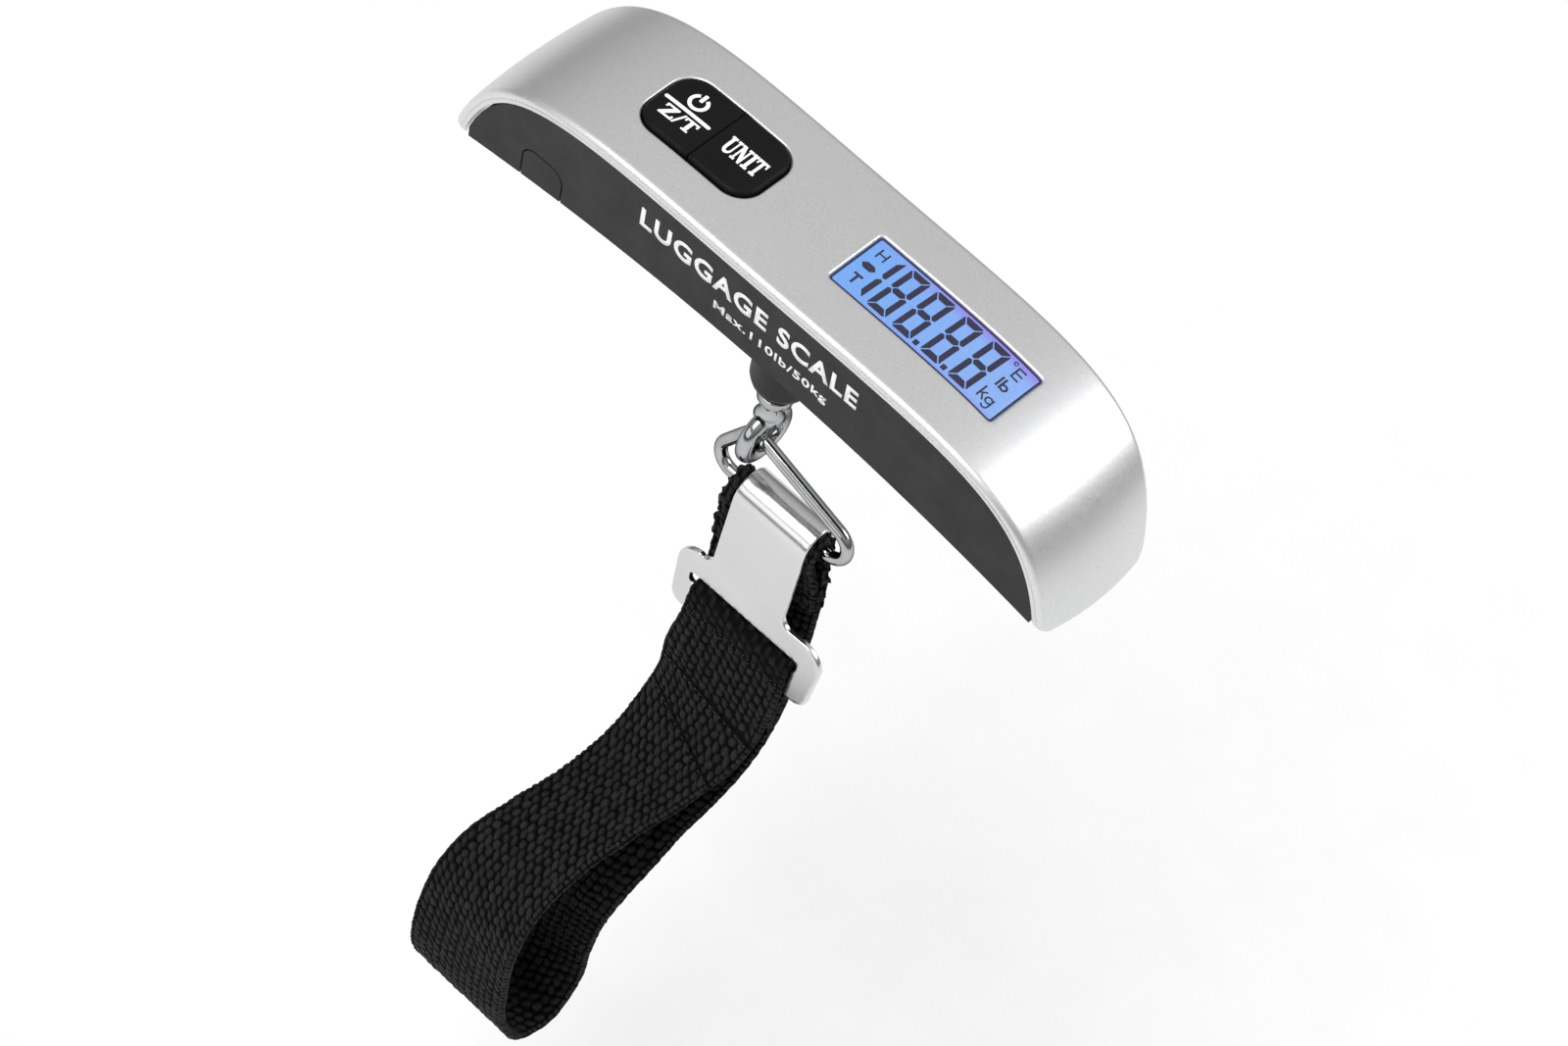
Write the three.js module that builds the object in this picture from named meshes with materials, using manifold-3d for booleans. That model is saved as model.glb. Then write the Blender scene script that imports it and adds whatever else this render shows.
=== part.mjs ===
// A hand-held digital luggage scale: an arched grip with a display and two keys on top, a load cell
// inside, and a hook with a webbing loop hanging from an eye under the neck.
// Units are millimetres. X runs along the grip, +Z is up, and the printed side faces -Y.
// The origin is midway between the grip's two tips, level with their lowest edge.
import * as THREE from "three";
import { mergeVertices } from "three/addons/utils/BufferGeometryUtils.js";
import Module from "manifold-3d";

const wasm = await Module();
wasm.setup();

// ---------- Driving dimensions ----------
const GAP = 0.3; // clearance between neighbouring pieces

// Grip
const HALF_LENGTH = 69.4; // centre to tip
const GRIP_HEIGHT = 29.3; // tips to the top of the arch
const GRIP_WIDTH = 33.8; // across the arch's top
const SIDE_LEAN = 0.13; // how far each side leans in per mm below the top
const BELLY_RISE = 6.8; // how far the underside rises from the tips to the middle
const COVER_WALL = 2.4;
const HOUSING_WALL = 1.8;
const COVER_EDGE = 1.1; // rounding of the cover's long edges
const TIP_CORNER = 4.0; // rounding of the tips' corners, seen from above
const MIDDLE_CROWN = 0.3; // crown across the cover's top
const TIP_CROWN = 1.4; // crown across its ends

// Display and keys, each centred on the grip's width
const WINDOW = { x0: 6.0, x1: 43.5, halfWidth: 6.9, corner: 0.8 };
const KEYS = { x0: -39.3, x1: -13.2, halfWidth: 7.9, corner: 5.0, split: 0.5, proud: 0.7 };
const KEY_FIT = 0.35; // clearance round each key
const WINDOW_DROP = 0.35; // the window sits this far below the cover's top

// Electronics
const BOARD = { x0: -42, x1: 46, halfWidth: 10, z: 19.6, thickness: 1.2, nutHole: 4.4 };
const DISPLAY_TILT = 0.038; // the display leans with the arch, in radians
const DISPLAY_CENTRE = { x: 24.75, z: 25.8 };

// Load cell, centred over the neck
const BEAM = { halfLength: 31, halfWidth: 5, z0: 10.5, z1: 15.5, relief: 0.8, gaugeX: 12 };
const BRACKET = { halfLength: 33, halfWidth: 7, z: 9.0, thickness: 1.2, hole: 6.5 };
const CELL_SCREW_X = 27;
const CELL_SCREW = { shank: 1.4, head: 2.6, headHeight: 1.6, end: 6.9 };

// Neck and eye bolt
const NECK_RADIUS = 5.9;
const NECK_BOTTOM = -12.1;
const NECK_BORE = 3.9;
const SHANK_RADIUS = 2.0;
const EYE = { z: -26.0, radius: 4.9, wire: 1.6 };

// Hanging ring: three corners of the wire's centre line, rounded to one radius
const RING = { wire: 1.25, bend: 3.8, left: -3.3, right: 19.2, barZ: -41 };

// Hook plate
const HANG_X = 10.2; // middle of the plate and of the webbing beside it
const PLATE = {
  thickness: 1.2,
  bendInner: 3.15,
  lipLength: 5,
  lipFlare: THREE.MathUtils.degToRad(22),
  neckMiddle: -1.1,
  neckHalf: 8.5,
  neckBottom: -58.4,
  frameMiddle: 0.6,
  frameHalf: 17.1,
  frameTop: -60.4,
  slotHalf: 12.9,
  slotTop: -66.3,
  slotBottom: -68.9,
  bottom: -76.2,
};

// Webbing
const WEB_WIDTH = 25;
const WEB_THICKNESS = 1.3;

// Coin cell and its door
const CELL = { x: -47.5, radius: 10, z0: 6.9, z1: 10.1 };
const DOOR = { x0: -58.3, x1: -36.7, halfWidth: 11.4, corner: 4 };
const TAB = { x: -49, half: 4.5, top: 11.4, corner: 3 }; // thumb tab on the printed side
const DOOR_WALL = 1.5;

// Screws that join the shells
const SHELL_SCREW = {
  x: 61.5,
  y: 5.5,
  boss: 2.6,
  shank: 1.1,
  head: 2.1,
  headHeight: 0.9,
  length: 7,
};

// ---------- Colours ----------
const FINISHES = {
  silver: { color: 0xb4b5b7, roughness: 0.38, metalness: 0.6 },
  black: { color: 0x363637, roughness: 0.62, metalness: 0 },
  key: { color: 0x1c1c1d, roughness: 0.5, metalness: 0 },
  rubber: { color: 0x2a2a2b, roughness: 0.85, metalness: 0 },
  clear: { color: 0x9fb8e8, roughness: 0.05, metalness: 0 },
  display: { color: 0x6f9cff, roughness: 0.2, metalness: 0 },
  white: { color: 0xe8eaee, roughness: 0.5, metalness: 0 },
  board: { color: 0x1d5a34, roughness: 0.5, metalness: 0 },
  chip: { color: 0x1a1a1c, roughness: 0.4, metalness: 0 },
  aluminium: { color: 0xc6c9cd, roughness: 0.35, metalness: 1 },
  foil: { color: 0xb8793a, roughness: 0.4, metalness: 0.4 },
  steel: { color: 0xd2d3d4, roughness: 0.28, metalness: 1 },
  chrome: { color: 0xe6e7e9, roughness: 0.08, metalness: 1 },
  brass: { color: 0xc9a45c, roughness: 0.3, metalness: 1 },
  webbing: { color: 0x121213, roughness: 0.9, metalness: 0 },
  redWire: { color: 0xa32020, roughness: 0.5, metalness: 0 },
  blackWire: { color: 0x202020, roughness: 0.5, metalness: 0 },
};

const model = new THREE.Group();

function add(name, geometry, finish) {
  const mesh = new THREE.Mesh(geometry, new THREE.MeshStandardMaterial(FINISHES[finish]));
  mesh.name = name;
  model.add(mesh);
}

// ---------- Solids ----------
function toManifold(geometry) {
  const bare = geometry.clone();
  bare.deleteAttribute("normal");
  bare.deleteAttribute("uv");
  const merged = mergeVertices(bare, 1e-4);
  return new wasm.Manifold(
    new wasm.Mesh({
      numProp: 3,
      vertProperties: new Float32Array(merged.attributes.position.array),
      triVerts: new Uint32Array(merged.index.array),
    }),
  );
}

function toGeometry(solid) {
  const mesh = solid.getMesh();
  const geometry = new THREE.BufferGeometry();
  geometry.setAttribute("position", new THREE.BufferAttribute(mesh.vertProperties, 3));
  geometry.setIndex(new THREE.BufferAttribute(mesh.triVerts, 1));
  geometry.computeVertexNormals();
  return geometry;
}

const join = (first, ...others) =>
  toGeometry(others.reduce((sum, next) => sum.add(toManifold(next)), toManifold(first)));
const cut = (first, ...others) =>
  toGeometry(others.reduce((rest, next) => rest.subtract(toManifold(next)), toManifold(first)));
const common = (first, second) => toGeometry(toManifold(first).intersect(toManifold(second)));

function box(x0, x1, y0, y1, z0, z1) {
  const geometry = new THREE.BoxGeometry(x1 - x0, y1 - y0, z1 - z0);
  return geometry.translate((x0 + x1) / 2, (y0 + y1) / 2, (z0 + z1) / 2);
}

// A cylinder that stands along Z.
function rod(x, y, radius, z0, z1, sides = 24) {
  const geometry = new THREE.CylinderGeometry(radius, radius, z1 - z0, sides);
  return geometry.rotateX(Math.PI / 2).translate(x, y, (z0 + z1) / 2);
}

// A solid turned about Z, from a profile of [radius, z] points that starts and ends on the axis
// or closes on itself.
function turned(profile, sides = 32) {
  const points = profile.map(([radius, z]) => new THREE.Vector2(radius, z));
  return new THREE.LatheGeometry(points, sides).rotateX(Math.PI / 2);
}

// A washer-like ring that stands along Z.
function collar(inner, outer, z0, z1, sides = 32) {
  const profile = [
    [inner, z0],
    [outer, z0],
    [outer, z1],
    [inner, z1],
    [inner, z0],
  ];
  return turned(profile, sides);
}

// A shape drawn in X and Z, thickened from y0 to y1.
function slabAlongY(shape, y0, y1) {
  const geometry = new THREE.ExtrudeGeometry(shape, { depth: y1 - y0, bevelEnabled: false });
  return geometry.rotateX(Math.PI / 2).translate(0, y1, 0);
}

// A shape drawn in X and Y, thickened from z0 to z1.
function slabAlongZ(shape, z0, z1) {
  const geometry = new THREE.ExtrudeGeometry(shape, {
    depth: z1 - z0,
    bevelEnabled: false,
    curveSegments: 6,
  });
  return geometry.translate(0, 0, z0);
}

function roundedRectangle(x0, x1, y0, y1, corner) {
  const shape = new THREE.Shape();
  shape.moveTo(x0 + corner, y0);
  shape.lineTo(x1 - corner, y0);
  shape.absarc(x1 - corner, y0 + corner, corner, -Math.PI / 2, 0);
  shape.lineTo(x1, y1 - corner);
  shape.absarc(x1 - corner, y1 - corner, corner, 0, Math.PI / 2);
  shape.lineTo(x0 + corner, y1);
  shape.absarc(x0 + corner, y1 - corner, corner, Math.PI / 2, Math.PI);
  shape.lineTo(x0, y0 + corner);
  shape.absarc(x0 + corner, y0 + corner, corner, Math.PI, 1.5 * Math.PI);
  return shape;
}

// A closed body through a row of equal loops of points, with flat ends.
function loft(loops) {
  const perLoop = loops[0].length;
  const positions = loops.flat().flatMap((point) => [point.x, point.y, point.z]);
  const faces = [];
  for (let row = 0; row + 1 < loops.length; row++)
    for (let side = 0; side < perLoop; side++) {
      const a = row * perLoop + side;
      const b = row * perLoop + ((side + 1) % perLoop);
      faces.push(a, b, b + perLoop, a, b + perLoop, a + perLoop);
    }
  const last = (loops.length - 1) * perLoop;
  for (let side = 1; side + 1 < perLoop; side++) {
    faces.push(0, side + 1, side);
    faces.push(last, last + side, last + side + 1);
  }
  const geometry = new THREE.BufferGeometry();
  geometry.setAttribute("position", new THREE.Float32BufferAttribute(positions, 3));
  geometry.setIndex(faces);
  return facingOut(geometry);
}

// Turns every face round when the body's signed volume is negative.
function facingOut(geometry) {
  const at = geometry.attributes.position;
  const index = geometry.index.array;
  const [a, b, c] = [new THREE.Vector3(), new THREE.Vector3(), new THREE.Vector3()];
  let volume = 0;
  for (let i = 0; i < index.length; i += 3) {
    a.fromBufferAttribute(at, index[i]);
    b.fromBufferAttribute(at, index[i + 1]);
    c.fromBufferAttribute(at, index[i + 2]);
    volume += a.dot(b.cross(c));
  }
  if (volume < 0)
    for (let i = 0; i < index.length; i += 3) [index[i], index[i + 1]] = [index[i + 1], index[i]];
  geometry.computeVertexNormals();
  return geometry;
}

// A round wire along a curve.
function wire(curve, radius, steps, sides = 12) {
  const section = new THREE.Shape();
  section.absarc(0, 0, radius, 0, 2 * Math.PI);
  return new THREE.ExtrudeGeometry(section, {
    extrudePath: curve,
    steps,
    curveSegments: sides,
    bevelEnabled: false,
  });
}

const mirrored = (shapePoints) => shapePoints.map(([x, z]) => [-x, z]).reverse();

function shapeFrom(points) {
  return new THREE.Shape(points.map(([x, y]) => new THREE.Vector2(x, y)));
}

// ---------- The arch ----------
// One half of the arch, from the middle of the top down to the tip.
const halfArch = new THREE.CubicBezierCurve(
  new THREE.Vector2(0, GRIP_HEIGHT),
  new THREE.Vector2(0.64 * HALF_LENGTH, GRIP_HEIGHT),
  new THREE.Vector2(HALF_LENGTH - 6, GRIP_HEIGHT + 2.4),
  new THREE.Vector2(HALF_LENGTH, 0),
);
const ARCH_STEPS = 22;

// Points of the arch moved inward by a distance, from the left tip to the right tip.
function archPoints(inward) {
  const right = [];
  for (let i = 0; i <= ARCH_STEPS; i++) {
    const t = i / ARCH_STEPS;
    const point = halfArch.getPoint(t);
    const along = i === 0 ? new THREE.Vector2(1, 0) : halfArch.getTangent(t);
    right.push([point.x + along.y * inward, point.y - along.x * inward]);
  }
  return [...mirrored(right.slice(1)), ...right];
}

// Height of the arch above x.
function archHeight(x) {
  let low = 0;
  let high = 1;
  for (let i = 0; i < 40; i++) {
    const middle = (low + high) / 2;
    if (halfArch.getPoint(middle).x < Math.abs(x)) low = middle;
    else high = middle;
  }
  return halfArch.getPoint(low).y;
}

const bellyHeight = (x) => BELLY_RISE * (1 - (x / HALF_LENGTH) ** 2);
const halfWidthAt = (z) => GRIP_WIDTH / 2 - SIDE_LEAN * (GRIP_HEIGHT - z);

// A wedge that trims a body to the grip's leaning sides, moved inward by a distance.
function leaningSides(inward) {
  const bottom = -5;
  const top = GRIP_HEIGHT + 5;
  const [low, high] = [halfWidthAt(bottom) - inward, halfWidthAt(top) - inward];
  const reach = HALF_LENGTH + 10;
  const section = shapeFrom([
    [-low, bottom],
    [low, bottom],
    [high, top],
    [-high, top],
  ]);
  const wedge = new THREE.ExtrudeGeometry(section, { depth: 2 * reach, bevelEnabled: false });
  // Drawn in X and Y, so turn its width to Y, its height to Z and its depth to X.
  const turn = new THREE.Matrix4().makeBasis(
    new THREE.Vector3(0, 1, 0),
    new THREE.Vector3(0, 0, 1),
    new THREE.Vector3(1, 0, 0),
  );
  return wedge.applyMatrix4(turn).translate(-reach, 0, 0);
}

// A slab that follows the arch between two depths below its top.
function archSlab(x0, x1, depthTop, depthBottom, halfWidth) {
  const steps = 12;
  const top = [];
  const bottom = [];
  for (let i = 0; i <= steps; i++) {
    const x = x0 + ((x1 - x0) * i) / steps;
    top.push([x, archHeight(x) - depthTop]);
    bottom.unshift([x, archHeight(x) - depthBottom]);
  }
  return slabAlongY(shapeFrom([...top, ...bottom]), -halfWidth, halfWidth);
}

// ---------- Casing ----------
// One cross-section of the cover at a point of the arch: crowned on top, rounded at its long edges.
function coverSection(point, outward, halfWidth, crown) {
  const acrossSteps = 4;
  const across = (y, height) =>
    new THREE.Vector3(point.x + outward.x * height, y, point.y + outward.y * height);
  const loop = [across(-halfWidth, -COVER_WALL)];
  for (let i = 0; i < 3; i++) {
    const turn = (i / 3) * (Math.PI / 2);
    const y = -halfWidth + COVER_EDGE * (1 - Math.cos(turn));
    loop.push(across(y, -COVER_EDGE * (1 - Math.sin(turn))));
  }
  const flat = halfWidth - COVER_EDGE;
  for (let i = 0; i <= acrossSteps; i++) {
    const y = -flat + (2 * flat * i) / acrossSteps;
    loop.push(across(y, crown * (1 - (y / flat) ** 2)));
  }
  for (let i = 2; i >= 0; i--) {
    const turn = (i / 3) * (Math.PI / 2);
    const y = halfWidth - COVER_EDGE * (1 - Math.cos(turn));
    loop.push(across(y, -COVER_EDGE * (1 - Math.sin(turn))));
  }
  loop.push(across(halfWidth, -COVER_WALL));
  return loop;
}

// Length of the arch from its parameter t down to the tip.
function lengthToTip(t) {
  const samples = 100;
  const lengths = halfArch.getLengths(samples);
  return lengths[samples] - lengths[Math.round(t * samples)];
}

function coverShell() {
  const loops = [];
  const steps = ARCH_STEPS + 6;
  for (let i = -steps; i <= steps; i++) {
    const t = Math.abs(i) / steps;
    const sign = Math.sign(i) || 1;
    const point = halfArch.getPoint(t);
    const along = t === 0 ? new THREE.Vector2(1, 0) : halfArch.getTangent(t);
    const outward = new THREE.Vector2(-along.y * sign, along.x);
    const corner = Math.max(TIP_CORNER - lengthToTip(t), 0);
    const trim = TIP_CORNER - Math.sqrt(TIP_CORNER ** 2 - corner ** 2);
    const crown = MIDDLE_CROWN + (TIP_CROWN - MIDDLE_CROWN) * t ** 4;
    const place = new THREE.Vector2(point.x * sign, point.y);
    loops.push(coverSection(place, outward, halfWidthAt(point.y) - 0.5 * trim, crown));
  }
  return loft(loops);
}

function opening(area, grow) {
  const outline = roundedRectangle(
    area.x0 - grow,
    area.x1 + grow,
    -area.halfWidth - grow,
    area.halfWidth + grow,
    area.corner + grow,
  );
  return slabAlongZ(outline, GRIP_HEIGHT - 8, GRIP_HEIGHT + 4);
}

const corners = [
  [-1, -1],
  [-1, 1],
  [1, -1],
  [1, 1],
];

function topCover() {
  const bosses = corners.map(([sx, sy]) => {
    const z0 = bellyHeight(SHELL_SCREW.x) + HOUSING_WALL + 0.8;
    const z1 = archHeight(SHELL_SCREW.x + SHELL_SCREW.boss) - 1.2;
    return rod(sx * SHELL_SCREW.x, sy * SHELL_SCREW.y, SHELL_SCREW.boss, z0, z1, 12);
  });
  const pilots = corners.map(([sx, sy]) =>
    rod(sx * SHELL_SCREW.x, sy * SHELL_SCREW.y, SHELL_SCREW.shank + GAP, -1, 9.5, 12),
  );
  const withBosses = join(coverShell(), ...bosses);
  return cut(withBosses, opening(WINDOW, 0), opening(KEYS, 0), ...pilots);
}

// The space between the underside and the arch, both moved inward by a wall.
function gripRegion(archInward, bellyUp, openTop) {
  const top = archPoints(archInward).filter(([x, z]) => z > bellyHeight(x) + bellyUp);
  const left = top[0][0];
  const right = top[top.length - 1][0];
  const belly = [];
  const steps = 24;
  for (let i = 0; i <= steps; i++) {
    const x = right + ((left - right) * i) / steps;
    belly.push([x, bellyHeight(x) + bellyUp]);
  }
  if (!openTop) return shapeFrom([...top, ...belly]);
  const raised = [
    [left, GRIP_HEIGHT + 5],
    [right, GRIP_HEIGHT + 5],
  ];
  return shapeFrom([...raised, ...belly]);
}

// The lower shell: two leaning sides and a curved floor, open at the top.
function lowerHousing() {
  const solid = common(
    slabAlongY(gripRegion(COVER_WALL + GAP, 0, false), -20, 20),
    leaningSides(0.3),
  );
  const hollow = common(
    slabAlongY(gripRegion(COVER_WALL + GAP + HOUSING_WALL, HOUSING_WALL, true), -20, 20),
    leaningSides(0.3 + HOUSING_WALL),
  );
  const flare = turned(
    [
      [0, BELLY_RISE + 1],
      [11, BELLY_RISE + 1],
      [10.2, 6.2],
      [8.4, 4.4],
      [6.8, 1.2],
      [NECK_RADIUS + 0.25, -3.5],
      [NECK_RADIUS, -8],
      [NECK_RADIUS - 0.1, NECK_BOTTOM + 2.4],
      [NECK_RADIUS - 0.7, NECK_BOTTOM + 0.8],
      [NECK_RADIUS - 2.0, NECK_BOTTOM],
      [0, NECK_BOTTOM],
    ].reverse(),
  );
  const posts = [-1, 1].map((side) =>
    rod(side * CELL_SCREW_X, 0, 3.4, bellyHeight(CELL_SCREW_X) + 1, BRACKET.z - GAP, 16),
  );
  const shelves = corners.map(([sx, sy]) => {
    const inner = sy > 0 ? 8.6 : -14.2;
    return box(sx * 34.6 - 1.2, sx * 34.6 + 1.2, inner, inner + 5.6, 6.2, BOARD.z - GAP);
  });
  const bore = rod(0, 0, NECK_BORE, NECK_BOTTOM - 1, BELLY_RISE + 4, 32);
  const pilots = [-1, 1].map((side) =>
    rod(side * CELL_SCREW_X, 0, CELL_SCREW.shank + GAP, 6.6, 12, 12),
  );
  const screwHoles = corners.flatMap(([sx, sy]) => [
    rod(sx * SHELL_SCREW.x, sy * SHELL_SCREW.y, SHELL_SCREW.shank + GAP, -2, 6, 12),
    rod(sx * SHELL_SCREW.x, sy * SHELL_SCREW.y, SHELL_SCREW.head + GAP, -2, headSeat(), 16),
  ]);
  const shell = toGeometry(toManifold(solid).subtract(toManifold(hollow)));
  const trimmedShelves = shelves.map((shelf) => common(shelf, leaningSides(1)));
  const fitted = join(shell, flare, ...posts, ...trimmedShelves);
  return cut(fitted, bore, ...pilots, ...screwHoles, doorSpace());
}

// Height of the face that the shell screws' heads pull against.
function headSeat() {
  return bellyHeight(SHELL_SCREW.x) + 0.9;
}

// ---------- Battery door ----------
function doorOutline(grow) {
  return roundedRectangle(
    DOOR.x0 - grow,
    DOOR.x1 + grow,
    -DOOR.halfWidth - grow,
    DOOR.halfWidth + grow,
    DOOR.corner + grow,
  );
}

// The half-round thumb tab on the printed side, as a shape in X and Z.
function tabOutline(grow) {
  const middle = TAB.x;
  const half = TAB.half + grow;
  const top = TAB.top + grow;
  const corner = TAB.corner + grow;
  const shape = new THREE.Shape();
  shape.moveTo(middle - half, -3);
  shape.lineTo(middle + half, -3);
  shape.lineTo(middle + half, top - corner);
  shape.absarc(middle + half - corner, top - corner, corner, 0, Math.PI / 2);
  shape.lineTo(middle - half + corner, top);
  shape.absarc(middle - half + corner, top - corner, corner, Math.PI / 2, Math.PI);
  return shape;
}

// A band just above the underside's curve.
function bellyBand(depth) {
  const steps = 10;
  const lower = [];
  const upper = [];
  for (let i = 0; i <= steps; i++) {
    const x = DOOR.x0 - 2 + ((DOOR.x1 - DOOR.x0 + 4) * i) / steps;
    lower.push([x, bellyHeight(x)]);
    upper.unshift([x, bellyHeight(x) + depth]);
  }
  return slabAlongY(shapeFrom([...lower, ...upper]), -20, 20);
}

function doorSpace() {
  const through = slabAlongZ(doorOutline(0.3), -3, 8);
  const side = slabAlongY(tabOutline(0.3), -20, -DOOR.halfWidth + 3);
  return join(through, side);
}

function batteryDoor() {
  const plate = common(slabAlongZ(doorOutline(0), -3, 12), bellyBand(DOOR_WALL));
  const aboveFloor = box(DOOR.x0, DOOR.x1, -20, 0, bellyHeight(TAB.x) + 0.7, 20);
  const tabWall = toGeometry(
    toManifold(leaningSides(0.3)).subtract(toManifold(leaningSides(0.3 + DOOR_WALL))),
  );
  const tab = common(common(slabAlongY(tabOutline(0), -20, 0), tabWall), aboveFloor);
  const bridge = common(
    common(slabAlongY(tabOutline(0), -20, -DOOR.halfWidth + 2), leaningSides(0.3)),
    bellyBand(DOOR_WALL),
  );
  return join(plate, bridge, tab);
}

// ---------- Keys ----------
function keyBlank() {
  const raised = archSlab(KEYS.x0 - 1, KEYS.x1 + 1, -KEYS.proud, 1.6, 12);
  const softened = archSlab(KEYS.x0 - 1, KEYS.x1 + 1, -KEYS.proud + 0.4, 1.6, 12);
  const full = common(softened, opening(KEYS, -KEY_FIT));
  const inset = common(raised, opening(KEYS, -KEY_FIT - 0.45));
  return join(full, inset);
}

const keyMiddle = (KEYS.x0 + KEYS.x1) / 2;

function keyCap(side) {
  const outer = side * 20;
  const inner = (side * KEYS.split) / 2;
  const half = box(
    keyMiddle + Math.min(outer, inner),
    keyMiddle + Math.max(outer, inner),
    -20,
    20,
    0,
    GRIP_HEIGHT + 10,
  );
  return common(keyBlank(), half);
}

const switchX = (side) => keyMiddle + side * 6.5;

function keyMat() {
  const web = archSlab(KEYS.x0 - 2, KEYS.x1 + 2, 2.8, 3.6, 10);
  const plungers = [-1, 1].map((side) =>
    rod(switchX(side), 0, 1.8, 24.6, archHeight(switchX(side)) - 3, 16),
  );
  return join(web, ...plungers);
}

function tactSwitch(side) {
  const z = BOARD.z + BOARD.thickness + GAP;
  const x = switchX(side);
  return join(box(x - 2.6, x + 2.6, -2.6, 2.6, z, z + 2.0), rod(x, 0, 1.4, z + 1, z + 3.0, 16));
}

// ---------- Display ----------
// Places a piece of the display stack, drawn flat round the origin, under the window.
function underWindow(geometry, below) {
  return geometry
    .translate(0, 0, -below)
    .rotateY(DISPLAY_TILT)
    .translate(DISPLAY_CENTRE.x, 0, DISPLAY_CENTRE.z);
}

const GLASS = { halfLength: 19.8, halfWidth: 8.4, thickness: 1.6 };
const LIGHT = { halfLength: 19.2, halfWidth: 5.8, thickness: 1.5 };

function lcdFrame() {
  const inner = [GLASS.halfLength + GAP, GLASS.halfWidth + GAP];
  const wall = 1.1;
  const outer = box(-inner[0] - wall, inner[0] + wall, -inner[1] - wall, inner[1] + wall, -3.9, 0);
  const hole = box(-inner[0], inner[0], -inner[1], inner[1], -5, 1);
  return underWindow(cut(outer, hole), 0.1);
}

function lcdPieces() {
  const slabOf = ({ halfLength, halfWidth, thickness }) =>
    box(-halfLength, halfLength, -halfWidth, halfWidth, -thickness, 0);
  const lightTop = GLASS.thickness + GAP;
  const zebraBox = box(-18, 18, -8.2, -6.4, -2.0, 0);
  add("lcd_glass", underWindow(slabOf(GLASS), 0), "display");
  add("backlight_guide", underWindow(slabOf(LIGHT), lightTop), "white");
  add("zebra_strip", underWindow(zebraBox, lightTop), "rubber");
  add("lcd_frame", lcdFrame(), "white");
}

function lcdWindow() {
  const fit = 0.25;
  const slab = archSlab(WINDOW.x0 - 1, WINDOW.x1 + 1, WINDOW_DROP, WINDOW_DROP + 1.5, 12);
  return common(slab, opening(WINDOW, -fit));
}

// ---------- Board ----------
function mainBoard() {
  const { x0, x1, halfWidth, z, thickness } = BOARD;
  const plate = box(x0, x1, -halfWidth, halfWidth, z, z + thickness);
  return cut(plate, rod(0, 0, BOARD.nutHole, z - 1, z + 3, 32));
}

function chips() {
  const under = BOARD.z - GAP;
  add("controller_chip", rod(16, -3, 4.2, under - 1.5, under, 24), "chip");
  add("amplifier_chip", box(-22.5, -15.5, -7.5, -3.5, under - 1.4, under), "chip");
}

// ---------- Load cell ----------
function loadCellBeam() {
  const { halfLength, z0, z1, relief, gaugeX } = BEAM;
  const outline = shapeFrom([
    [-halfLength, z0],
    [-halfLength + 7.5, z0],
    [-halfLength + 8.3, z0 + relief],
    [halfLength - 8.3, z0 + relief],
    [halfLength - 7.5, z0],
    [halfLength, z0],
    [halfLength, z1],
    [-halfLength, z1],
  ]);
  for (const side of [-1, 1])
    for (const offset of [-2.4, 2.4]) {
      const hole = new THREE.Path();
      hole.absarc(side * gaugeX + offset, (z0 + relief + z1) / 2, 1.5, 0, 2 * Math.PI);
      outline.holes.push(hole);
    }
  const beam = slabAlongY(outline, -BEAM.halfWidth, BEAM.halfWidth);
  const shankHole = rod(0, 0, SHANK_RADIUS + GAP, z0 - 1, z1 + 1);
  const screwHoles = [-1, 1].map((side) =>
    rod(side * CELL_SCREW_X, 0, CELL_SCREW.shank + GAP, z0 - 1, z1 + 1, 16),
  );
  return cut(beam, shankHole, ...screwHoles);
}

function cellBracket() {
  const plate = box(
    -BRACKET.halfLength,
    BRACKET.halfLength,
    -BRACKET.halfWidth,
    BRACKET.halfWidth,
    BRACKET.z,
    BRACKET.z + BRACKET.thickness,
  );
  const holes = [-1, 1].map((side) =>
    rod(side * CELL_SCREW_X, 0, CELL_SCREW.shank + GAP, 5, 12, 16),
  );
  return cut(plate, rod(0, 0, BRACKET.hole, 5, 12, 32), ...holes);
}

// A pan-head screw on the Z axis with its head at the top, resting on the plane z = zHead.
function panScrew({ shank, head, headHeight }, zHead, zEnd) {
  const profile = [
    [0, zEnd],
    [shank * 0.7, zEnd],
    [shank, zEnd + 0.8],
    [shank, zHead],
    [head, zHead],
    [head, zHead + headHeight * 0.5],
    [head * 0.7, zHead + headHeight],
    [0, zHead + headHeight],
  ];
  const slot = box(-head * 0.6, head * 0.6, -0.3, 0.3, zHead + headHeight * 0.55, zHead + 5);
  return cut(turned(profile, 16), slot, slot.clone().rotateZ(Math.PI / 2));
}

function loadCellPieces() {
  add("load_cell_beam", loadCellBeam(), "aluminium");
  add("cell_bracket", cellBracket(), "steel");
  [-1, 1].forEach((side, i) => {
    const x = side * BEAM.gaugeX;
    const z = BEAM.z1 + GAP;
    add(`strain_gauge_${i + 1}`, box(x - 3, x + 3, -2, 2, z, z + 0.3), "foil");
    const screw = panScrew(CELL_SCREW, z, CELL_SCREW.end);
    add(`cell_screw_${i + 1}`, screw.translate(side * CELL_SCREW_X, 0, 0), "steel");
  });
}

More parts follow.
